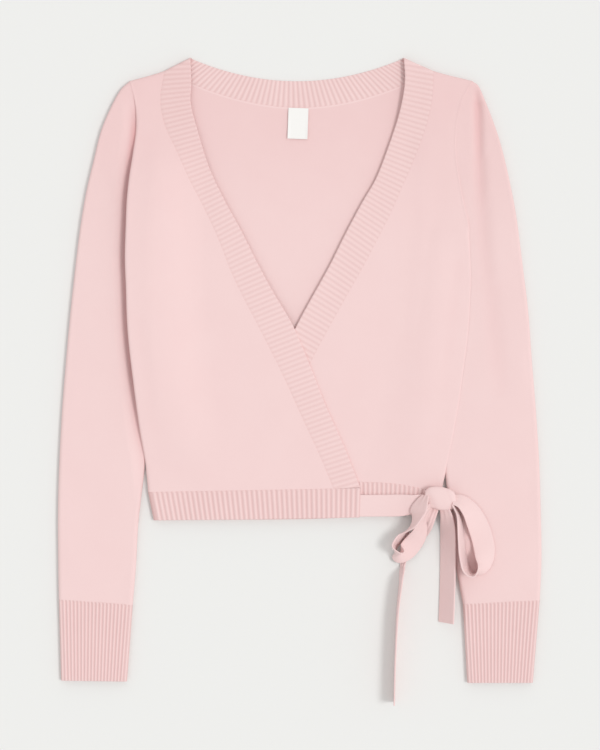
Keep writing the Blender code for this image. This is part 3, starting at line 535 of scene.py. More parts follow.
def neck_edge_y(x):
    rise = NECK_POINT["left"][1] - BACK_NECK_EDGE_Y
    return BACK_NECK_EDGE_Y + rise * (x / NECK_POINT["left"][0]) ** 2


def run_along(points):
    """Length of a line up to each of its points."""
    return np.concatenate([[0.0], np.cumsum(np.linalg.norm(np.diff(points, axis=0), axis=1))])


def line_of(points, share):
    """Points at shares of a line's length."""
    lengths = run_along(points)
    return np.stack([np.interp(share * lengths[-1], lengths, points[:, axis]) for axis in (0, 1)], axis=-1)


def back_neckband():
    seam_x = np.linspace(SHOULDER_SEAM["right"][0], SHOULDER_SEAM["left"][0], 200)
    edge_x = np.linspace(NECK_POINT["right"][0], NECK_POINT["left"][0], 200)
    seam = np.stack([seam_x, neck_seam_y(seam_x)], axis=-1)
    edge = np.stack([edge_x, neck_edge_y(edge_x)], axis=-1)
    length = run_along(edge)[-1]
    down = widthways(NECKBAND_WIDTH)
    t = (down / NECKBAND_WIDTH)[:, None, None]
    grids = []
    for inner in (False, True):
        places, drops, phases = rib_run(length, BACK_NECK_RIBS, not inner)
        flat = mix(line_of(seam, places / length)[None], line_of(edge, places / length)[None], t)
        z = drops + rib_cut(phases, down, NECKBAND_WIDTH, BAND_RIDGE, inner)
        grids.append(np.concatenate([flat, z[..., None]], axis=-1))
    return grids, rib_stitches(phases, down, BACK_NECK_VALLEY_PAINTED_SHADE)


back_neck = knit_piece("rib_neckband_back", "neckband_back", back_neckband(), rib_knit)


# The label is a blank tape of woven satin, folded double and cut to length.
# Its upper end is caught in the back neck seam; the lower end lies free on the back.
LABEL_SIZE = (21.0, 32.5)
LABEL_THICK = 0.8
LABEL_TOP = (1.6, 286.0)
LABEL_TILT = -2.0
LABEL_GAP = 0.45           # height of the label over the back
LABEL_CURL = 0.8           # how far its free end lifts
LABEL_CORNERS = 0.5        # how far its long edges lift
LABEL_HUMP = 0.5           # how far it bulges below the seam


def label_finish():
    """Satin tape: fine weft threads across it."""
    made, add, shader = new_finish("woven_label")
    spot = add("TexCoord", {})["Object"]
    weft = add("TexWave", {"Vector": spot, "Scale": 700.0, "Distortion": 1.2}, bands_direction="Y")["Fac"]
    colours = {"A": (0.90, 0.885, 0.865, 1.0), "B": (0.84, 0.825, 0.80, 1.0), "Factor": weft}
    tone = add("Mix", colours, data_type="RGBA")
    bump = add("Bump", {"Strength": 0.2, "Distance": 0.0001, "Height": weft})
    shader({
        "Base Color": tone["Result"], "Normal": bump["Normal"], "Roughness": 0.55, "Sheen Weight": 0.15,
    })
    return made


def label_tape():
    width, height = LABEL_SIZE
    tilt = radians(LABEL_TILT)
    across = np.linspace(-0.5, 0.5, 25)[None, :]
    down = np.linspace(0.0, 1.0, 37)[:, None]
    x = LABEL_TOP[0] + cos(tilt) * width * across + sin(tilt) * height * down
    y = LABEL_TOP[1] + sin(tilt) * width * across - cos(tilt) * height * down
    curl = LABEL_CURL * down ** 3 + LABEL_CORNERS * soft_ramp(np.abs(across), 0.35, 0.5) * down
    hump = LABEL_HUMP * np.sin(pi * np.minimum(1.0, down * 2.2))
    under = KNIT + LABEL_GAP + curl + hump
    grids = [np.stack([x, y, under + thick + 0 * x], axis=-1) for thick in (LABEL_THICK, 0.0)]
    return grids, 0 * grids[0]


label = knit_piece("tape_label", "label", label_tape(), label_finish())


# The left front is the under one: plain knit, cut slanting along the wrap edge.
# It is sewn to the back at the shoulder and side, and lies under the right front.
UNDER_HEIGHT = 5.4         # top of the left front
OVER_LOW = 7.4             # top of the right front beside the left one
OVER_HEIGHT = 8.6          # and where it crosses the left one, between these places
CROSSING_X = (-130.0, -92.0)
CROSSING_Y = (72.0, 110.0)
SHOULDER_RISE = (255.0, 306.0)
FRONT_COLUMNS = 70
FRONT_SOFT = (60.0, 0.5)   # length and height of the uneven places
SOFT_INSIDE = 20.0         # the sewn edges stay even
ARMHOLE_RIDGE = 0.35       # the seam of the armhole shows as a fine ridge
ARMHOLE_PLACE = 0.9
ARMHOLE_LINE = 0.6
EdgeRow = namedtuple("EdgeRow", "y x")
BAND_SEAM = {
    "right": rows_of(EdgeRow,
        (325, -139), (296, -143.5), (268, -139), (239, -127), (204, -112), (179, -99), (146, -83),
        (112, -69), (84, -55), (59, -41.5), (10.5, -17), (-42.5, 7), (-84, 26), (-113.5, 38)
    ),
    "left": rows_of(EdgeRow,
        (325, 143), (308, 143), (288, 141), (266, 136), (246, 129.5), (221, 120), (203, 112), (171, 98),
        (146, 85), (115, 68), (76, 45), (23, 16), (-20, -4), (-60, -22), (-104.8, -40)
    ),
}
HEM_LEFT_FRONT = rows_of(HemRow,
    (-68, -105, -134.5), (40, -105.2, -135.5), (69, -107, -137.5), (98, -108.2, -138.5),
    (127, -113, -137), (151, -121.5, -132)
)
# Soft creases: a straight crest from one point to another, negative where it is a trough
Crease = namedtuple("Crease", "x0 y0 x1 y1 width height")
CREASE_FADE = 0.55         # share of its height that a crease loses towards its second point
CREASE_PAINTED_SHADE = 0.08        # painted shade in a trough, for each millimetre of its depth
FRONT_CREASES = {
    "right": [
        Crease(-123, 84, -121, -96, 16, 0.9), Crease(-150, 225, -120, 120, 14, 0.5),
        Crease(-165, 60, -150, -60, 7, -0.35),
    ],
    "left": [
        Crease(136, 244, 114, 59, 13, 1.0), Crease(150, 150, 128, -60, 12, 0.6),
        Crease(168, 120, 152, -20, 7, -0.35), Crease(123, 173, 112, 47, 9, -0.8),
    ],
}


def crease_height(creases, x, y):
    crests = troughs = 0.0 * x
    for crease in creases:
        along_x, along_y = crease.x1 - crease.x0, crease.y1 - crease.y0
        t = ramp((x - crease.x0) * along_x + (y - crease.y0) * along_y, 0.0, along_x ** 2 + along_y ** 2)
        across = np.hypot(x - crease.x0 - along_x * t, y - crease.y0 - along_y * t)
        here = crease.height * np.exp(-(across / crease.width) ** 2) * (1 - CREASE_FADE * t * t)
        crests = np.maximum(crests, here)
        troughs = np.minimum(troughs, here)
    return crests + troughs


def front_top(side, x, y):
    """Top of a front: the folded side is high, and the right front is raised over the left."""
    low = OVER_LOW if side == "right" else UNDER_HEIGHT
    distance = np.abs(body_x(side, y) - x)
    flat = mix(edge_height(side, y), low, soft_ramp(distance, FOLD_RADIUS, SIDE_STRIP))
    top = mix(flat, SEAM_HEIGHT, soft_ramp(y, *SHOULDER_RISE))
    if side == "right":
        crossed = soft_ramp(x, *CROSSING_X) * soft_ramp(-y, -CROSSING_Y[1], -CROSSING_Y[0])
        top = top + (OVER_HEIGHT - OVER_LOW) * crossed
    return top + crease_height(FRONT_CREASES[side], x, y) + lift_at(side, x, y)


def front_panel(side, hem):
    sign = side_sign(side)
    seam_low = BAND_SEAM[side][-1].y
    seam_high = SHOULDER_SEAM[side][1]
    grids = []
    for inner in (False, True):
        y, shoulder_drop = panel_levels(inner)
        share = (y - HEM_Y) / (SHOULDER_Y - HEM_Y)
        low, high = (1 - share) ** ENDS_POWER, share ** ENDS_POWER
        seam_y = y + (seam_low - HEM_Y) * low + (seam_high - SHOULDER_Y) * high
        seam_x = table_at(BAND_SEAM[side], "y", seam_y, "x")
        width = np.abs(seam_x - body_x(side, y))
        places = mix(FOLD_RADIUS, width, np.linspace(0.0, 1.0, FRONT_COLUMNS)[None, :] ** 0.93)
        x, distance, drop = side_strip(side, y, inner, places)
        hem_line = table_at(hem, "x", x, "seam_y")
        level = y + (hem_line - HEM_Y) * low + (shoulder_y(side, x) - SHOULDER_Y) * high
        top = front_top(side, x, level)
        inside = np.minimum(width - distance, level - hem_line)
        soft = softness(x, level, *FRONT_SOFT, 1.0 + sign) * soft_ramp(inside, 0.0, SOFT_INSIDE)
        armhole = (1 - fold_share(side, y)) * np.exp(-((distance - ARMHOLE_PLACE) / ARMHOLE_LINE) ** 2)
        raised = soft + ARMHOLE_RIDGE * armhole
        z = top + raised - np.maximum(drop, shoulder_drop) - (KNIT if inner else 0.0)
        grids.append(np.stack([x, level, z], axis=-1))
    creases = crease_height(FRONT_CREASES[side], grids[0][..., 0], grids[0][..., 1])
    return grids, plain_stitches(grids[0], CREASE_PAINTED_SHADE * np.maximum(0.0, -creases))


left_panel = front_panel("left", HEM_LEFT_FRONT)
left_front = knit_piece("knit_front_left", "front_left", left_panel, plain_knit)


# The left neckband is a strip of rib sewn along the slanting edge of the left front.
# It runs from the shoulder seam down under the right front, its ribs across its width.
FREE_EDGE = {
    "right": rows_of(EdgeRow,
        (339, -112), (313, -111), (291, -111.5), (263, -104.5), (223, -92), (187, -75), (157, -58.5),
        (123, -41.5), (89, -23), (59, -5), (15, 14), (-28, 31), (-71.5, 50.5), (-112.8, 66.6)
    ),
    "left": rows_of(EdgeRow,
        (338.5, 112), (313, 113), (283, 108), (251, 98), (212, 83), (186, 68), (154, 51), (120, 34),
        (84, 14), (54, -2), (10, -21), (-40, -42), (-80, -58), (-104.6, -68)
    ),
}
NECKBAND_RIBS = {"right": 92, "left": 88}
BAND_DROOP = {"right": 1.1, "left": -1.2}  # how far a band's free edge sinks below its seam
BAND_PAINTED_SHADE = {"right": 0.13, "left": 0.05}   # painted shade towards the shoulders
LEAN_ENDS = (-140.0, 340.0)
LEAN_ROUNDS = 12           # steps in which the rib through a point is found
# How far the ribs of each band climb from its seam to its free edge, in degrees
LeanRow = namedtuple("LeanRow", "y right left")
RIB_LEAN = rows_of(LeanRow,
    (340, 3, 9), (305, 5.3, 11), (290, 8.8, 12.5), (270, 14.3, 15.5), (250, 16.3, 18.5), (225, 20.3, 21),
    (200, 24.3, 26), (170, 27.8, 32), (140, 27.8, 34.5), (110, 24.3, 34), (80, 22.8, 32.5),
    (0, 20.8, 27), (-60, 19.3, 22), (-140, 14.3, 17)
)


def rib_count(side, seam, x, y):
    """Ribs from the hem up to the rib through a point, which leans away from the seam."""
    lengths = run_along(seam)
    beyond = 2 * NECKBAND_WIDTH
    heights = np.concatenate([[seam[0, 1] - beyond], seam[:, 1], [seam[-1, 1] + beyond]])
    places = np.concatenate([[-beyond], lengths, [lengths[-1] + beyond]])
    start = y
    for _ in range(LEAN_ROUNDS):
        lean = np.tan(np.radians(table_at(RIB_LEAN, "y", np.clip(start, *LEAN_ENDS), side)))
        start = y - lean * np.abs(x - np.interp(start, seam[:, 1], seam[:, 0]))
    return np.interp(start, heights, places) / lengths[-1] * NECKBAND_RIBS[side]


def front_neckband(side, panel):
    """Rib band along the last column of a front's panel."""
    seam = panel[0][0][:, -1, :2]
    rows = FREE_EDGE[side]
    heights = np.linspace(rows[-1].y, rows[0].y, 300)
    edge = np.stack([table_at(rows, "y", heights, "x"), heights], axis=-1)
    length = run_along(seam)[-1]
    down = widthways(NECKBAND_WIDTH)
    t = (down / NECKBAND_WIDTH)[:, None, None]
    grids = []
    for inner in (False, True):
        places, drops, _ = rib_run(length, NECKBAND_RIBS[side], inner, (False, True))
        flat = mix(line_of(seam, places / length)[None], line_of(edge, places / length)[None], t)
        x, y = flat[..., 0], flat[..., 1]
        phases = rib_count(side, seam, x, y)
        bottom = front_top(side, x, np.minimum(y, SHOULDER_Y)) - KNIT
        bottom = bottom - BAND_DROOP[side] * (down[:, None] / NECKBAND_WIDTH) ** 2
        cut = rib_cut(phases, down, NECKBAND_WIDTH, BAND_RIDGE, inner)
        grids.append(np.stack([x, y, bottom + cut - drops], axis=-1))
    stitches = rib_stitches(phases, down, BAND_VALLEY_PAINTED_SHADE)
    stitches[..., 2] += BAND_PAINTED_SHADE[side] * soft_ramp(y, *SHADED)
    return grids, stitches


left_neckband = front_neckband("left", left_panel)
left_band = knit_piece("rib_neckband_left", "neckband_left", left_neckband, rib_knit)


# The hem of the left front is a rib band like the back's, sewn on under the panel.
# Only a short length of it shows, between the right front's corner and the bow.
HEM_LEFT_SIDE_FRONT = (150.4, 147.7)
HEM_LEFT_FAR = (-66.0, -60.0)
FRONT_HEM_RIBS = {"right": 42, "left": 44}


def front_hem(side, rows, side_x, far_x):
    def height_at(x, y, drop, cut):
        return front_top(side, x, y) - KNIT - drop + cut

    return hem_band(rows, side_x, far_x, FRONT_HEM_RIBS[side], height_at, False)


left_hem_band = front_hem("left", HEM_LEFT_FRONT, HEM_LEFT_SIDE_FRONT, HEM_LEFT_FAR)
left_hem = knit_piece("rib_hem_front_left", "hem_front_left", left_hem_band, rib_knit)


# The right front is the over one, the same in plain knit and wrapped across the left.
# Its own neckband and hem meet at its lower corner, where the strap is sewn on.
HEM_RIGHT_FRONT = rows_of(HemRow,
    (-156.5, -117.5, -147.5), (-41, -115.3, -146), (66.8, -113.2, -144.2)
)
HEM_RIGHT_FAR = (66.8, 65.8)

right_panel = front_panel("right", HEM_RIGHT_FRONT)
right_front = knit_piece("knit_front_right", "front_right", right_panel, plain_knit)

right_neckband = front_neckband("right", right_panel)
right_band = knit_piece("rib_neckband_right", "neckband_right", right_neckband, rib_knit)

right_hem_band = front_hem("right", HEM_RIGHT_FRONT, HEM_RIGHT_SIDE, HEM_RIGHT_FAR)
right_hem = knit_piece("rib_hem_front_right", "hem_front_right", right_hem_band, rib_knit)


# Each sleeve is one piece of plain knit, joined into a tube under the arm and set
# into the armhole. It lies flat beside the body, its inner side under the body's edge.
SLEEVE_HEIGHT = 7.8
SLEEVE_FLAT = 4.3          # height of the sleeve where the body lies on it
SLEEVE_AT_EDGE = {"right": 4.2, "left": 7.3}   # its height just where the body's edge lies
SLEEVE_TUCK = 4.0          # distance in under the edge over which it gets flat
SLEEVE_UNDER = {"right": 5.0, "left": 0.0}   # how far a sleeve head reaches in under the body
UNDER_PAINTED_SHADOW = {"right": 0.5, "left": 0.0}    # painted shadow on the sleeve beside the body's raised edge
UNDER_PAINTED_SHADOW_WIDTH = (1.0, 10.0)
SEAM_LAP = 0.6             # lap of a sleeve head under the armhole's edge
PRESSED_WIDTH = {"right": 16.0, "left": 24.0}
PRESSED_TOP = {"right": (270.0, 306.0), "left": (132.0, 176.0)}
SLEEVE_STEPS = 64
SLEEVE_ROWS = 210
SLEEVE_SOFT = (55.0, 0.6)
FOLD_EVEN = (1.0, 14.0)    # its folds stay even this far in
BELOW_BODY = (-130.0, -105.0)   # no body lies on it below these heights
UNDER_TOP = (10.0, 60.0)   # its head goes in under the body from here down
SleeveRow = namedtuple("SleeveRow", "outer_x outer_y inner_x inner_y")
SLEEVES = {
    "right": rows_of(SleeveRow,
        (-176.6, 314.4, -179.8, 163), (-187, 304, -180.5, 150), (-198, 283, -180.9, 136),
        (-207, 260, -180.6, 124), (-213.5, 233, -173.5, 106), (-221.5, 199, -163.5, 84),
        (-228, 160, -158, 56), (-233.5, 115, -156, 20), (-238.5, 68, -156, -15), (-243, 18, -157.3, -50),
        (-247, -33, -160, -90), (-250, -90, -163.8, -125), (-251.3, -140, -167, -155),
        (-251, -188, -169, -193), (-250.4, -230, -172.5, -236)
    ),
    "left": rows_of(SleeveRow,
        (185.6, 313.8, 180.8, 163), (192, 308.5, 176.4, 150), (199.5, 291, 175.6, 136),
        (207, 271, 175.2, 124), (215, 246, 172.5, 106), (224, 208, 167.5, 84), (231, 170, 161, 56),
        (238, 115, 157, 20), (243, 73, 155, -15), (247, 20, 154.3, -50), (251, -30, 155, -88),
        (254.5, -85, 158.3, -122), (256.3, -140, 162.5, -155), (257, -190, 166.5, -193),
        (255.2, -231, 174.4, -235)
    ),
}
SLEEVE_CREASES = {
    "right": [Crease(-222, 60, -190, 10, 14, 0.4), Crease(-232, -20, -205, -70, 16, 0.35)],
    "left": [
        Crease(190.2, 290, 189.2, 305, 4.0, -2.8), Crease(190.2, 290, 192, 200, 5.0, -3.4),
        Crease(191.8, 232, 194.5, 150, 6.5, -2.3), Crease(193, 190, 202, 84, 8.5, -1.7),
        Crease(202, 95, 214, -10, 10.0, -1.1), Crease(236, 20, 214, -60, 14, 0.4),
    ],
}


def tube_grid(across, height_at, inner, thick, steps, dip_at=None):
    """Points of a flattened tube's rings, round one side, over the top and back underneath.

    across(share) gives x and y of every ring at a share of its flat width.
    """
    quarter = np.linspace(pi / 2, 0.0, 7)
    start, end = across(0.0), across(1.0)
    width = np.hypot(end[0] - start[0], end[1] - start[1])
    start_half, end_half = height_at(*start) / 2, height_at(*end) / 2
    line = np.linspace(0.0, 1.0, steps + 1)
    columns = []
    for upper in (True, False):
        ring = [("start", angle, 0.0) for angle in quarter[:-1]]
        ring += [("flat", 0.0, place) for place in line]
        ring += [("end", angle, 1.0) for angle in quarter[-2::-1]]
        if not upper:
            ring = ring[1:-1][::-1]
        for part, angle, place in ring:
            if part == "flat":
                share = mix(start_half, width - end_half, place) / width
            else:
                half = start_half if part == "start" else end_half
                reach = half - (thick if inner else 0.0)
                share = (half - reach * sin(angle)) / width
                if part == "end":
                    share = 1 - share
            x, y = across(share)
            half = height_at(x, y) / 2
            turn = 1 - angle
            run = {"start": start_half * turn, "flat": share * width, "end": width - end_half * turn}[part]
            dip = 0.0 if inner or dip_at is None else dip_at(run, width, upper)
            reach = half - (thick if inner else 0.0) - dip
            z = half + (reach if upper else -reach) * cos(angle)
            columns.append(np.concatenate([x, y, z, run, 0 * x + (1.0 if upper else 0.0)], axis=1))
    return np.stack(columns, axis=1)


def sleeve_height(side, x, y):
    """Height of the sleeve: lower where the body lies on it."""
    past = (x - body_x(side, y)) * side_sign(side)
    low, high = PRESSED_TOP[side]
    along = soft_ramp(-y, -high, -low) * ramp(y, *BELOW_BODY)
    outside = mix(SLEEVE_HEIGHT, SLEEVE_AT_EDGE[side], soft_ramp(past, -PRESSED_WIDTH[side], 0.0))
    pressed = mix(outside, SLEEVE_FLAT, soft_ramp(past, 0.0, SLEEVE_TUCK))
    return mix(SLEEVE_HEIGHT, pressed, along)


def sleeve(side):
    rows = SLEEVES[side]
    first = rows[0]
    sign = side_sign(side)
    along = np.linspace(0.0, len(rows) - 1, SLEEVE_ROWS)[:, None]
    ring = SleeveRow(*columns_at(rows, along))
    fade = (1 - along / (len(rows) - 1)) ** ENDS_POWER

    def across(share):
        y = mix(first.outer_y, first.inner_y, share)
        x = body_x(side, y)
        y = y + (shoulder_y(side, x) - SHOULDER_Y) * ((y - HEM_Y) / (SHOULDER_Y - HEM_Y)) ** ENDS_POWER
        x = x + sign * (SEAM_LAP + SLEEVE_UNDER[side] * soft_ramp(SHOULDER_Y - y, *UNDER_TOP))
        off_x = x - mix(first.outer_x, first.inner_x, share)
        off_y = y - mix(first.outer_y, first.inner_y, share)
        x = mix(ring.outer_x, ring.inner_x, share) + fade * off_x
        return x, mix(ring.outer_y, ring.inner_y, share) + fade * off_y

    grids = []
    for inner in (False, True):
        grid = tube_grid(across, lambda x, y: sleeve_height(side, x, y), inner, KNIT, SLEEVE_STEPS)
        x, y, upper = grid[..., 0], grid[..., 1], grid[..., 4]
        waves = crease_height(SLEEVE_CREASES[side], x, y) + softness(x, y, *SLEEVE_SOFT, 5.0 + sign)
        start, end = across(0.0), across(1.0)
        width = np.hypot(end[0] - start[0], end[1] - start[1])
        off_side = soft_ramp(np.minimum(grid[..., 3], width - grid[..., 3]), *FOLD_EVEN)
        grid[..., 2] += waves * upper * off_side
        grids.append(grid)
    middle = np.concatenate(across(0.5), axis=1)
    run = run_along(middle)[:, None]
    shown = grids[0]
    creases = crease_height(SLEEVE_CREASES[side], shown[..., 0], shown[..., 1]) * shown[..., 4]
    tone = CREASE_PAINTED_SHADE * np.maximum(0.0, -creases) + SHOULDER_PAINTED_SHADE * soft_ramp(shown[..., 1], *SHADED)
    # painted shadow on the sleeve along the body's raised edge
    beside = (body_x(side, shown[..., 1]) - shown[..., 0]) * sign
    near = (1.0 - soft_ramp(beside, *UNDER_PAINTED_SHADOW_WIDTH)) * fold_share(side, shown[..., 1])
    tone = tone + UNDER_PAINTED_SHADOW[side] * near * soft_ramp(shown[..., 1], *LIFT_LOW[side])
    stitches = np.stack([(shown[..., 3] - width / 2) / WALE, run / COURSE + 0 * tone, tone], axis=-1)
    return [grid[..., :3] for grid in grids], stitches


sleeves = {}
for side in ("right", "left"):
    sleeves[side] = knit_piece("knit_sleeve_" + side, "sleeve_" + side, sleeve(side), plain_knit, ring=True)


# The cuffs are deep bands of one-by-one rib, knitted on to the sleeve's end.
# They draw in a little towards the wrist and end in a soft, rounded edge.
CUFF_HEIGHT = 7.8
CUFF_THICK = 2.1           # from its inside to the top of a ridge
CUFF_LENGTH = 82.0
CUFF_DIP = 1.0             # depth of a valley between two ribs
CUFF_RIBS = 18             # on the flat top, and the same underneath
CUFF_TURN_RIBS = 3         # round half of the fold at each side
CUFF_ROUND = 1.2
CuffCorners = namedtuple("CuffCorners", "top_outer top_inner low_outer low_inner")
CUFFS = {
    "right": CuffCorners((-250.4, -230.0), (-172.5, -236.0), (-248.0, -315.6), (-178.6, -316.6)),
    "left": CuffCorners((255.2, -231.0), (174.4, -235.0), (247.9, -318.0), (178.9, -318.0)),
}


def cuff_phase(run, width, upper):
    """Ribs counted round the ring from the start of the flat top."""
    half = CUFF_HEIGHT / 2
    flat = (run - half) / (width - 2 * half) * CUFF_RIBS
    before = (run - half) / (pi * half) * CUFF_TURN_RIBS
    after = CUFF_RIBS + (run - width + half) / (pi * half) * CUFF_TURN_RIBS
    return np.where(run < half, before, np.where(run > width - half, after, flat))


def cuff(side):
    corners = CUFFS[side]
    near, far = [0.0, 0.4, 0.9, 1.7, 3.0], CUFF_LENGTH - np.array([3.0, 1.7, 0.8, 0.2, 0.0])
    down = np.concatenate([near, np.linspace(6.0, CUFF_LENGTH - 6.0, 24), far])
    share_down = (down / CUFF_LENGTH)[:, None]
    starts = [mix(corners.top_outer[i], corners.low_outer[i], share_down) for i in (0, 1)]
    ends = [mix(corners.top_inner[i], corners.low_inner[i], share_down) for i in (0, 1)]
    left = edge_round_off(down, CUFF_LENGTH, CUFF_ROUND)[:, None]
    fade = soft_ramp(down, 0.0, 1.8)[:, None]

    def across(share):
        return mix(starts[0], ends[0], share), mix(starts[1], ends[1], share)

    def dip_at(run, width, upper):
        return CUFF_DIP * (1 - ridge(cuff_phase(run, width, upper))) * fade + 0.9 * (1 - left)

    def height_at(x, y):
        return CUFF_HEIGHT + 0 * x

    steps = CUFF_RIBS * RIB_STEPS
    grids = [tube_grid(across, height_at, inner, CUFF_THICK, steps, dip_at) for inner in (False, True)]
    width = np.hypot(ends[0] - starts[0], ends[1] - starts[1])
    phase = cuff_phase(grids[0][..., 3], width, True)
    return [grid[..., :3] for grid in grids], rib_stitches(phase, down)


for side in ("right", "left"):
    cuff_piece = knit_piece("rib_cuff_" + side, "cuff_" + side, cuff(side), rib_knit, ring=True)


# The ties are flat tubes of fine knit, pressed double, 23 mm wide and soft.
# One runs from the right front's hem; with its partner it makes the bow at the side.
TIE_THICK = 1.6
TIE_WIDTH = 23.0
TIE_STEPS = 12
TieRow = namedtuple("TieRow", "x y rest tilt width")
STRAP = rows_of(TieRow,
    (65, -131.8, 6.7, 0, 23), (90, -131.7, 6.6, 0, 23), (108, -131.4, 7.1, 0, 23), (121, -130, 9, 0, 20),
    (130, -127, 9.5, 0, 15), (138, -124.8, 9.5, 0, 9)
)
LOOP_INNER = rows_of(TieRow,
    (134.2, -120.8, 12, 56, 10), (130.4, -127.2, 11.9, 50, 17), (127.2, -134.5, 11.4, 48, 22),
    (123.8, -142.5, 10.6, 64, 23), (119.4, -151.5, 6, 88, 23), (113.2, -160, 1.5, 108, 23),
    (106.4, -167.5, 0.9, 114, 23), (101.8, -175.5, 1.5, 104, 23), (106, -183, 3.4, 58, 23),
    (114.2, -179.5, 3.8, 26, 22), (121.6, -171, 4, 24, 22), (127.2, -160.5, 7.4, 36, 21),
    (130.2, -148.5, 11.4, 52, 17), (134.6, -138.6, 11.8, 56, 12), (139.5, -130.5, 12.4, 50, 9)
)
LOOP_OUTER = rows_of(TieRow,
    (163.6, -124.6, 10.4, 44, 14), (172.6, -127.8, 8.8, 42, 19), (181.6, -137, 8.4, 30, 22),
    (188.8, -151, 8.4, 14, 23), (194.2, -166.5, 8.4, 5, 23), (196.2, -181.5, 8.4, 16, 23),
    (192.6, -195.5, 8.4, 50, 23), (184.2, -203, 8.4, 92, 23), (176.8, -197.5, 8.4, 112, 23),
    (172.8, -182.5, 8.4, 112, 23), (171.2, -166.5, 8.4, 110, 23), (170.2, -151.5, 8.4, 108, 22),
    (168.4, -140.5, 8.8, 104, 17), (162.4, -130, 10.8, 96, 10)
)
END_SHORT = rows_of(TieRow,
    (153.4, -130.4, 11.6, 36, 10), (156.8, -145, 7, 44, 17), (158, -158, 1.2, 50, 22),
    (158.2, -175, 0.2, 51, 23), (157.8, -215, 0.2, 51, 23), (156.4, -254.5, 0.2, 51, 23)
)
END_LONG = rows_of(TieRow,
    (145.4, -130.6, 10.6, 0, 9), (140, -145.5, 9.2, 0, 10), (136, -155, 5.4, 0, 11),
    (129.5, -164, 1.2, 0, 12), (121, -173, 0.5, 0, 12), (115.2, -182, 0.5, 0, 8),
    (112.2, -190, 0.4, 20, 6), (110.8, -197, 0.4, 62, 8), (109.8, -204, 0.4, 80, 15),
    (108.6, -214, 0.2, 87, 22), (105.2, -245, 0.2, 90, 23), (103, -290, 0.2, 92, 23),
    (101.8, -339, 0.2, 93, 23)
)
TIE_COLOUR = (0.915, 0.71, 0.698, 1.0)
TIE_SHADE = (0.68, 0.43, 0.425, 1.0)
GATHERS = 2.5              # small waves across a tie where the knot draws it in
GATHER_HEIGHT = 0.45
GATHER_PAINTED_SHADE = 0.3         # painted shade in their troughs
DRAWN_IN = 16.0            # loss of width at which they are full

tie_knit = knit_finish("tie_knit", TIE_COLOUR, TIE_SHADE, 0.3, 0.15)


def tie(rows, raised_side):
    """Grids of a tie; raised_side is 1 where its left edge goes up, seen along it."""
    at = np.linspace(0.0, len(rows) - 1, (len(rows) - 1) * TIE_STEPS + 1)
    x, y, rest, tilt, width = columns_at(rows, at)
    tilt = np.radians(tilt)
    rise = width / 2 * np.abs(np.sin(tilt)) + TIE_THICK / 2 * np.abs(np.cos(tilt))
    middle = np.stack([x, y, rest + rise], axis=-1)
    ahead = np.concatenate([middle[1:], middle[-1:]]) - np.concatenate([middle[:1], middle[:-1]])
    ahead /= np.linalg.norm(ahead, axis=1)[:, None]
    level = np.stack([-ahead[:, 1], ahead[:, 0], 0 * x], axis=-1)
    level *= raised_side / np.linalg.norm(level, axis=1)[:, None]
    wide = level * np.cos(tilt)[:, None] + np.stack([0 * x, 0 * x, np.sin(tilt)], axis=-1)
    wide -= ahead * np.sum(wide * ahead, axis=1)[:, None]
    wide /= np.linalg.norm(wide, axis=1)[:, None]
    deep = np.cross(ahead, wide)
    near_edge = np.array([0.5, 0.493, 0.47, 0.43])
    side = np.concatenate([near_edge, np.linspace(0.37, -0.37, 15), -near_edge[::-1]])
    thin = np.sqrt(np.clip(1 - (np.clip(np.abs(side) - 0.46, 0, 1) / 0.04) ** 2, 0.03, 1.0))
    drawn = ramp(TIE_WIDTH - width, 0.0, DRAWN_IN)[:, None]
    waves = np.sin(2 * pi * GATHERS * (side + 0.5)) * np.cos(pi * side)
    gather = GATHER_HEIGHT * drawn * waves[None, :]
    centre = middle[:, None, :] + wide[:, None, :] * (width[:, None] * side[None, :])[..., None]
    grids = []
    for face in (1, -1):
        off = gather + face * TIE_THICK / 2 * thin[None, :]
        grids.append(centre + deep[:, None, :] * off[..., None])
    wales = TIE_WIDTH * side[None, :] / WALE + 0 * gather
    courses = run_along(middle)[:, None] / COURSE + 0 * gather
    tone = GATHER_PAINTED_SHADE * drawn * np.clip(-gather, 0, 1)
    return grids, np.stack([wales, courses, tone], axis=-1)


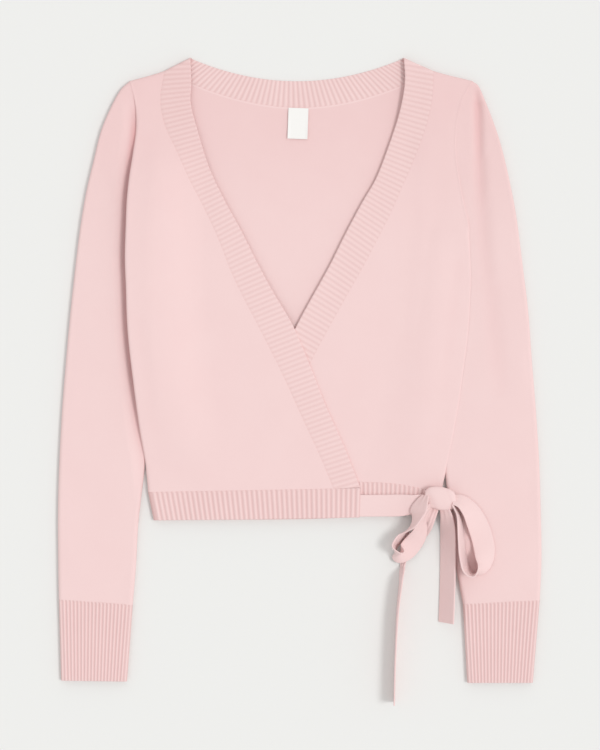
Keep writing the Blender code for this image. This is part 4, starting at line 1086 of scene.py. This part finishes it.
for name, rows, raised_side, length, rests_on in (
    ("tie_strap", STRAP, 1, 0.074, [left_hem]),
    ("bow_loop_inner", LOOP_INNER, 1, 0.130, [table, left_hem]),
    ("bow_loop_outer", LOOP_OUTER, -1, 0.190, [sleeves["left"]]),
    ("tie_end_short", END_SHORT, 1, 0.121, [table]),
    ("tie_end_long", END_LONG, 1, 0.213, [table]),
):
    tie_piece = knit_piece("knit_" + name, name, tie(rows, raised_side), tie_knit)
    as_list(rests_on)


# The knot is one turn of the tie, drawn tight round the other and smoothed flat.
# Its creases run with the turn, and both loops and both ends come out from under it.
KNOT_CENTRE = (149.8, -123.6, 15.6)
KNOT_HALF = (16.2, 12.2, 4.8)
KNOT_FALL = -2.0           # its band falls towards the outer loop
KNOT_ROUND = 9.0           # mean radius of the turn, along which its stitches run
KNOT_PAINTED_SHADE = 4.0           # painted shade in its creases
KNOT_CREASES = ((-0.5, 0.12, 0.03), (0.55, 0.1, 0.02))   # place along it, width and depth


def knot_mesh():
    rings, count = 60, 90
    lengthways = np.linspace(0.02, pi - 0.02, rings)[:, None]
    turn = np.linspace(0.0, 2 * pi, count, endpoint=False)[None, :]
    fall = -cos(radians(35)) * np.cos(lengthways) + 0.25 * np.cos(turn)
    crease = 1.0
    for at, width, depth in KNOT_CREASES:
        crease = crease - depth * np.exp(-((fall - at) / width) ** 2)
    full = np.sin(lengthways) ** 0.55 * crease
    x = KNOT_CENTRE[0] - KNOT_HALF[0] * np.cos(lengthways) + 0 * turn
    y = KNOT_CENTRE[1] + KNOT_HALF[1] * full * np.cos(turn) - KNOT_FALL * np.cos(lengthways)
    z = KNOT_CENTRE[2] + KNOT_HALF[2] * full * np.sign(np.sin(turn)) * np.abs(np.sin(turn)) ** 0.7
    index = np.arange(rings * count).reshape(rings, count)
    index = np.concatenate([index, index[:, :1]], axis=1)
    ends = [list(range(count))[::-1], list(range((rings - 1) * count, rings * count))]
    stitches = np.stack([x / WALE, KNOT_ROUND * turn / COURSE + 0 * x, (1 - crease) * KNOT_PAINTED_SHADE], axis=-1)
    points = np.stack([x, y, z], axis=-1)
    mesh = counted_mesh("knit_bow_knot", points, quads(index).tolist() + ends, stitches, tie_knit)
    mesh.polygons.foreach_set("use_smooth", [True] * len(mesh.polygons))
    return mesh


lay_piece(knot_mesh(), "bow_knot")
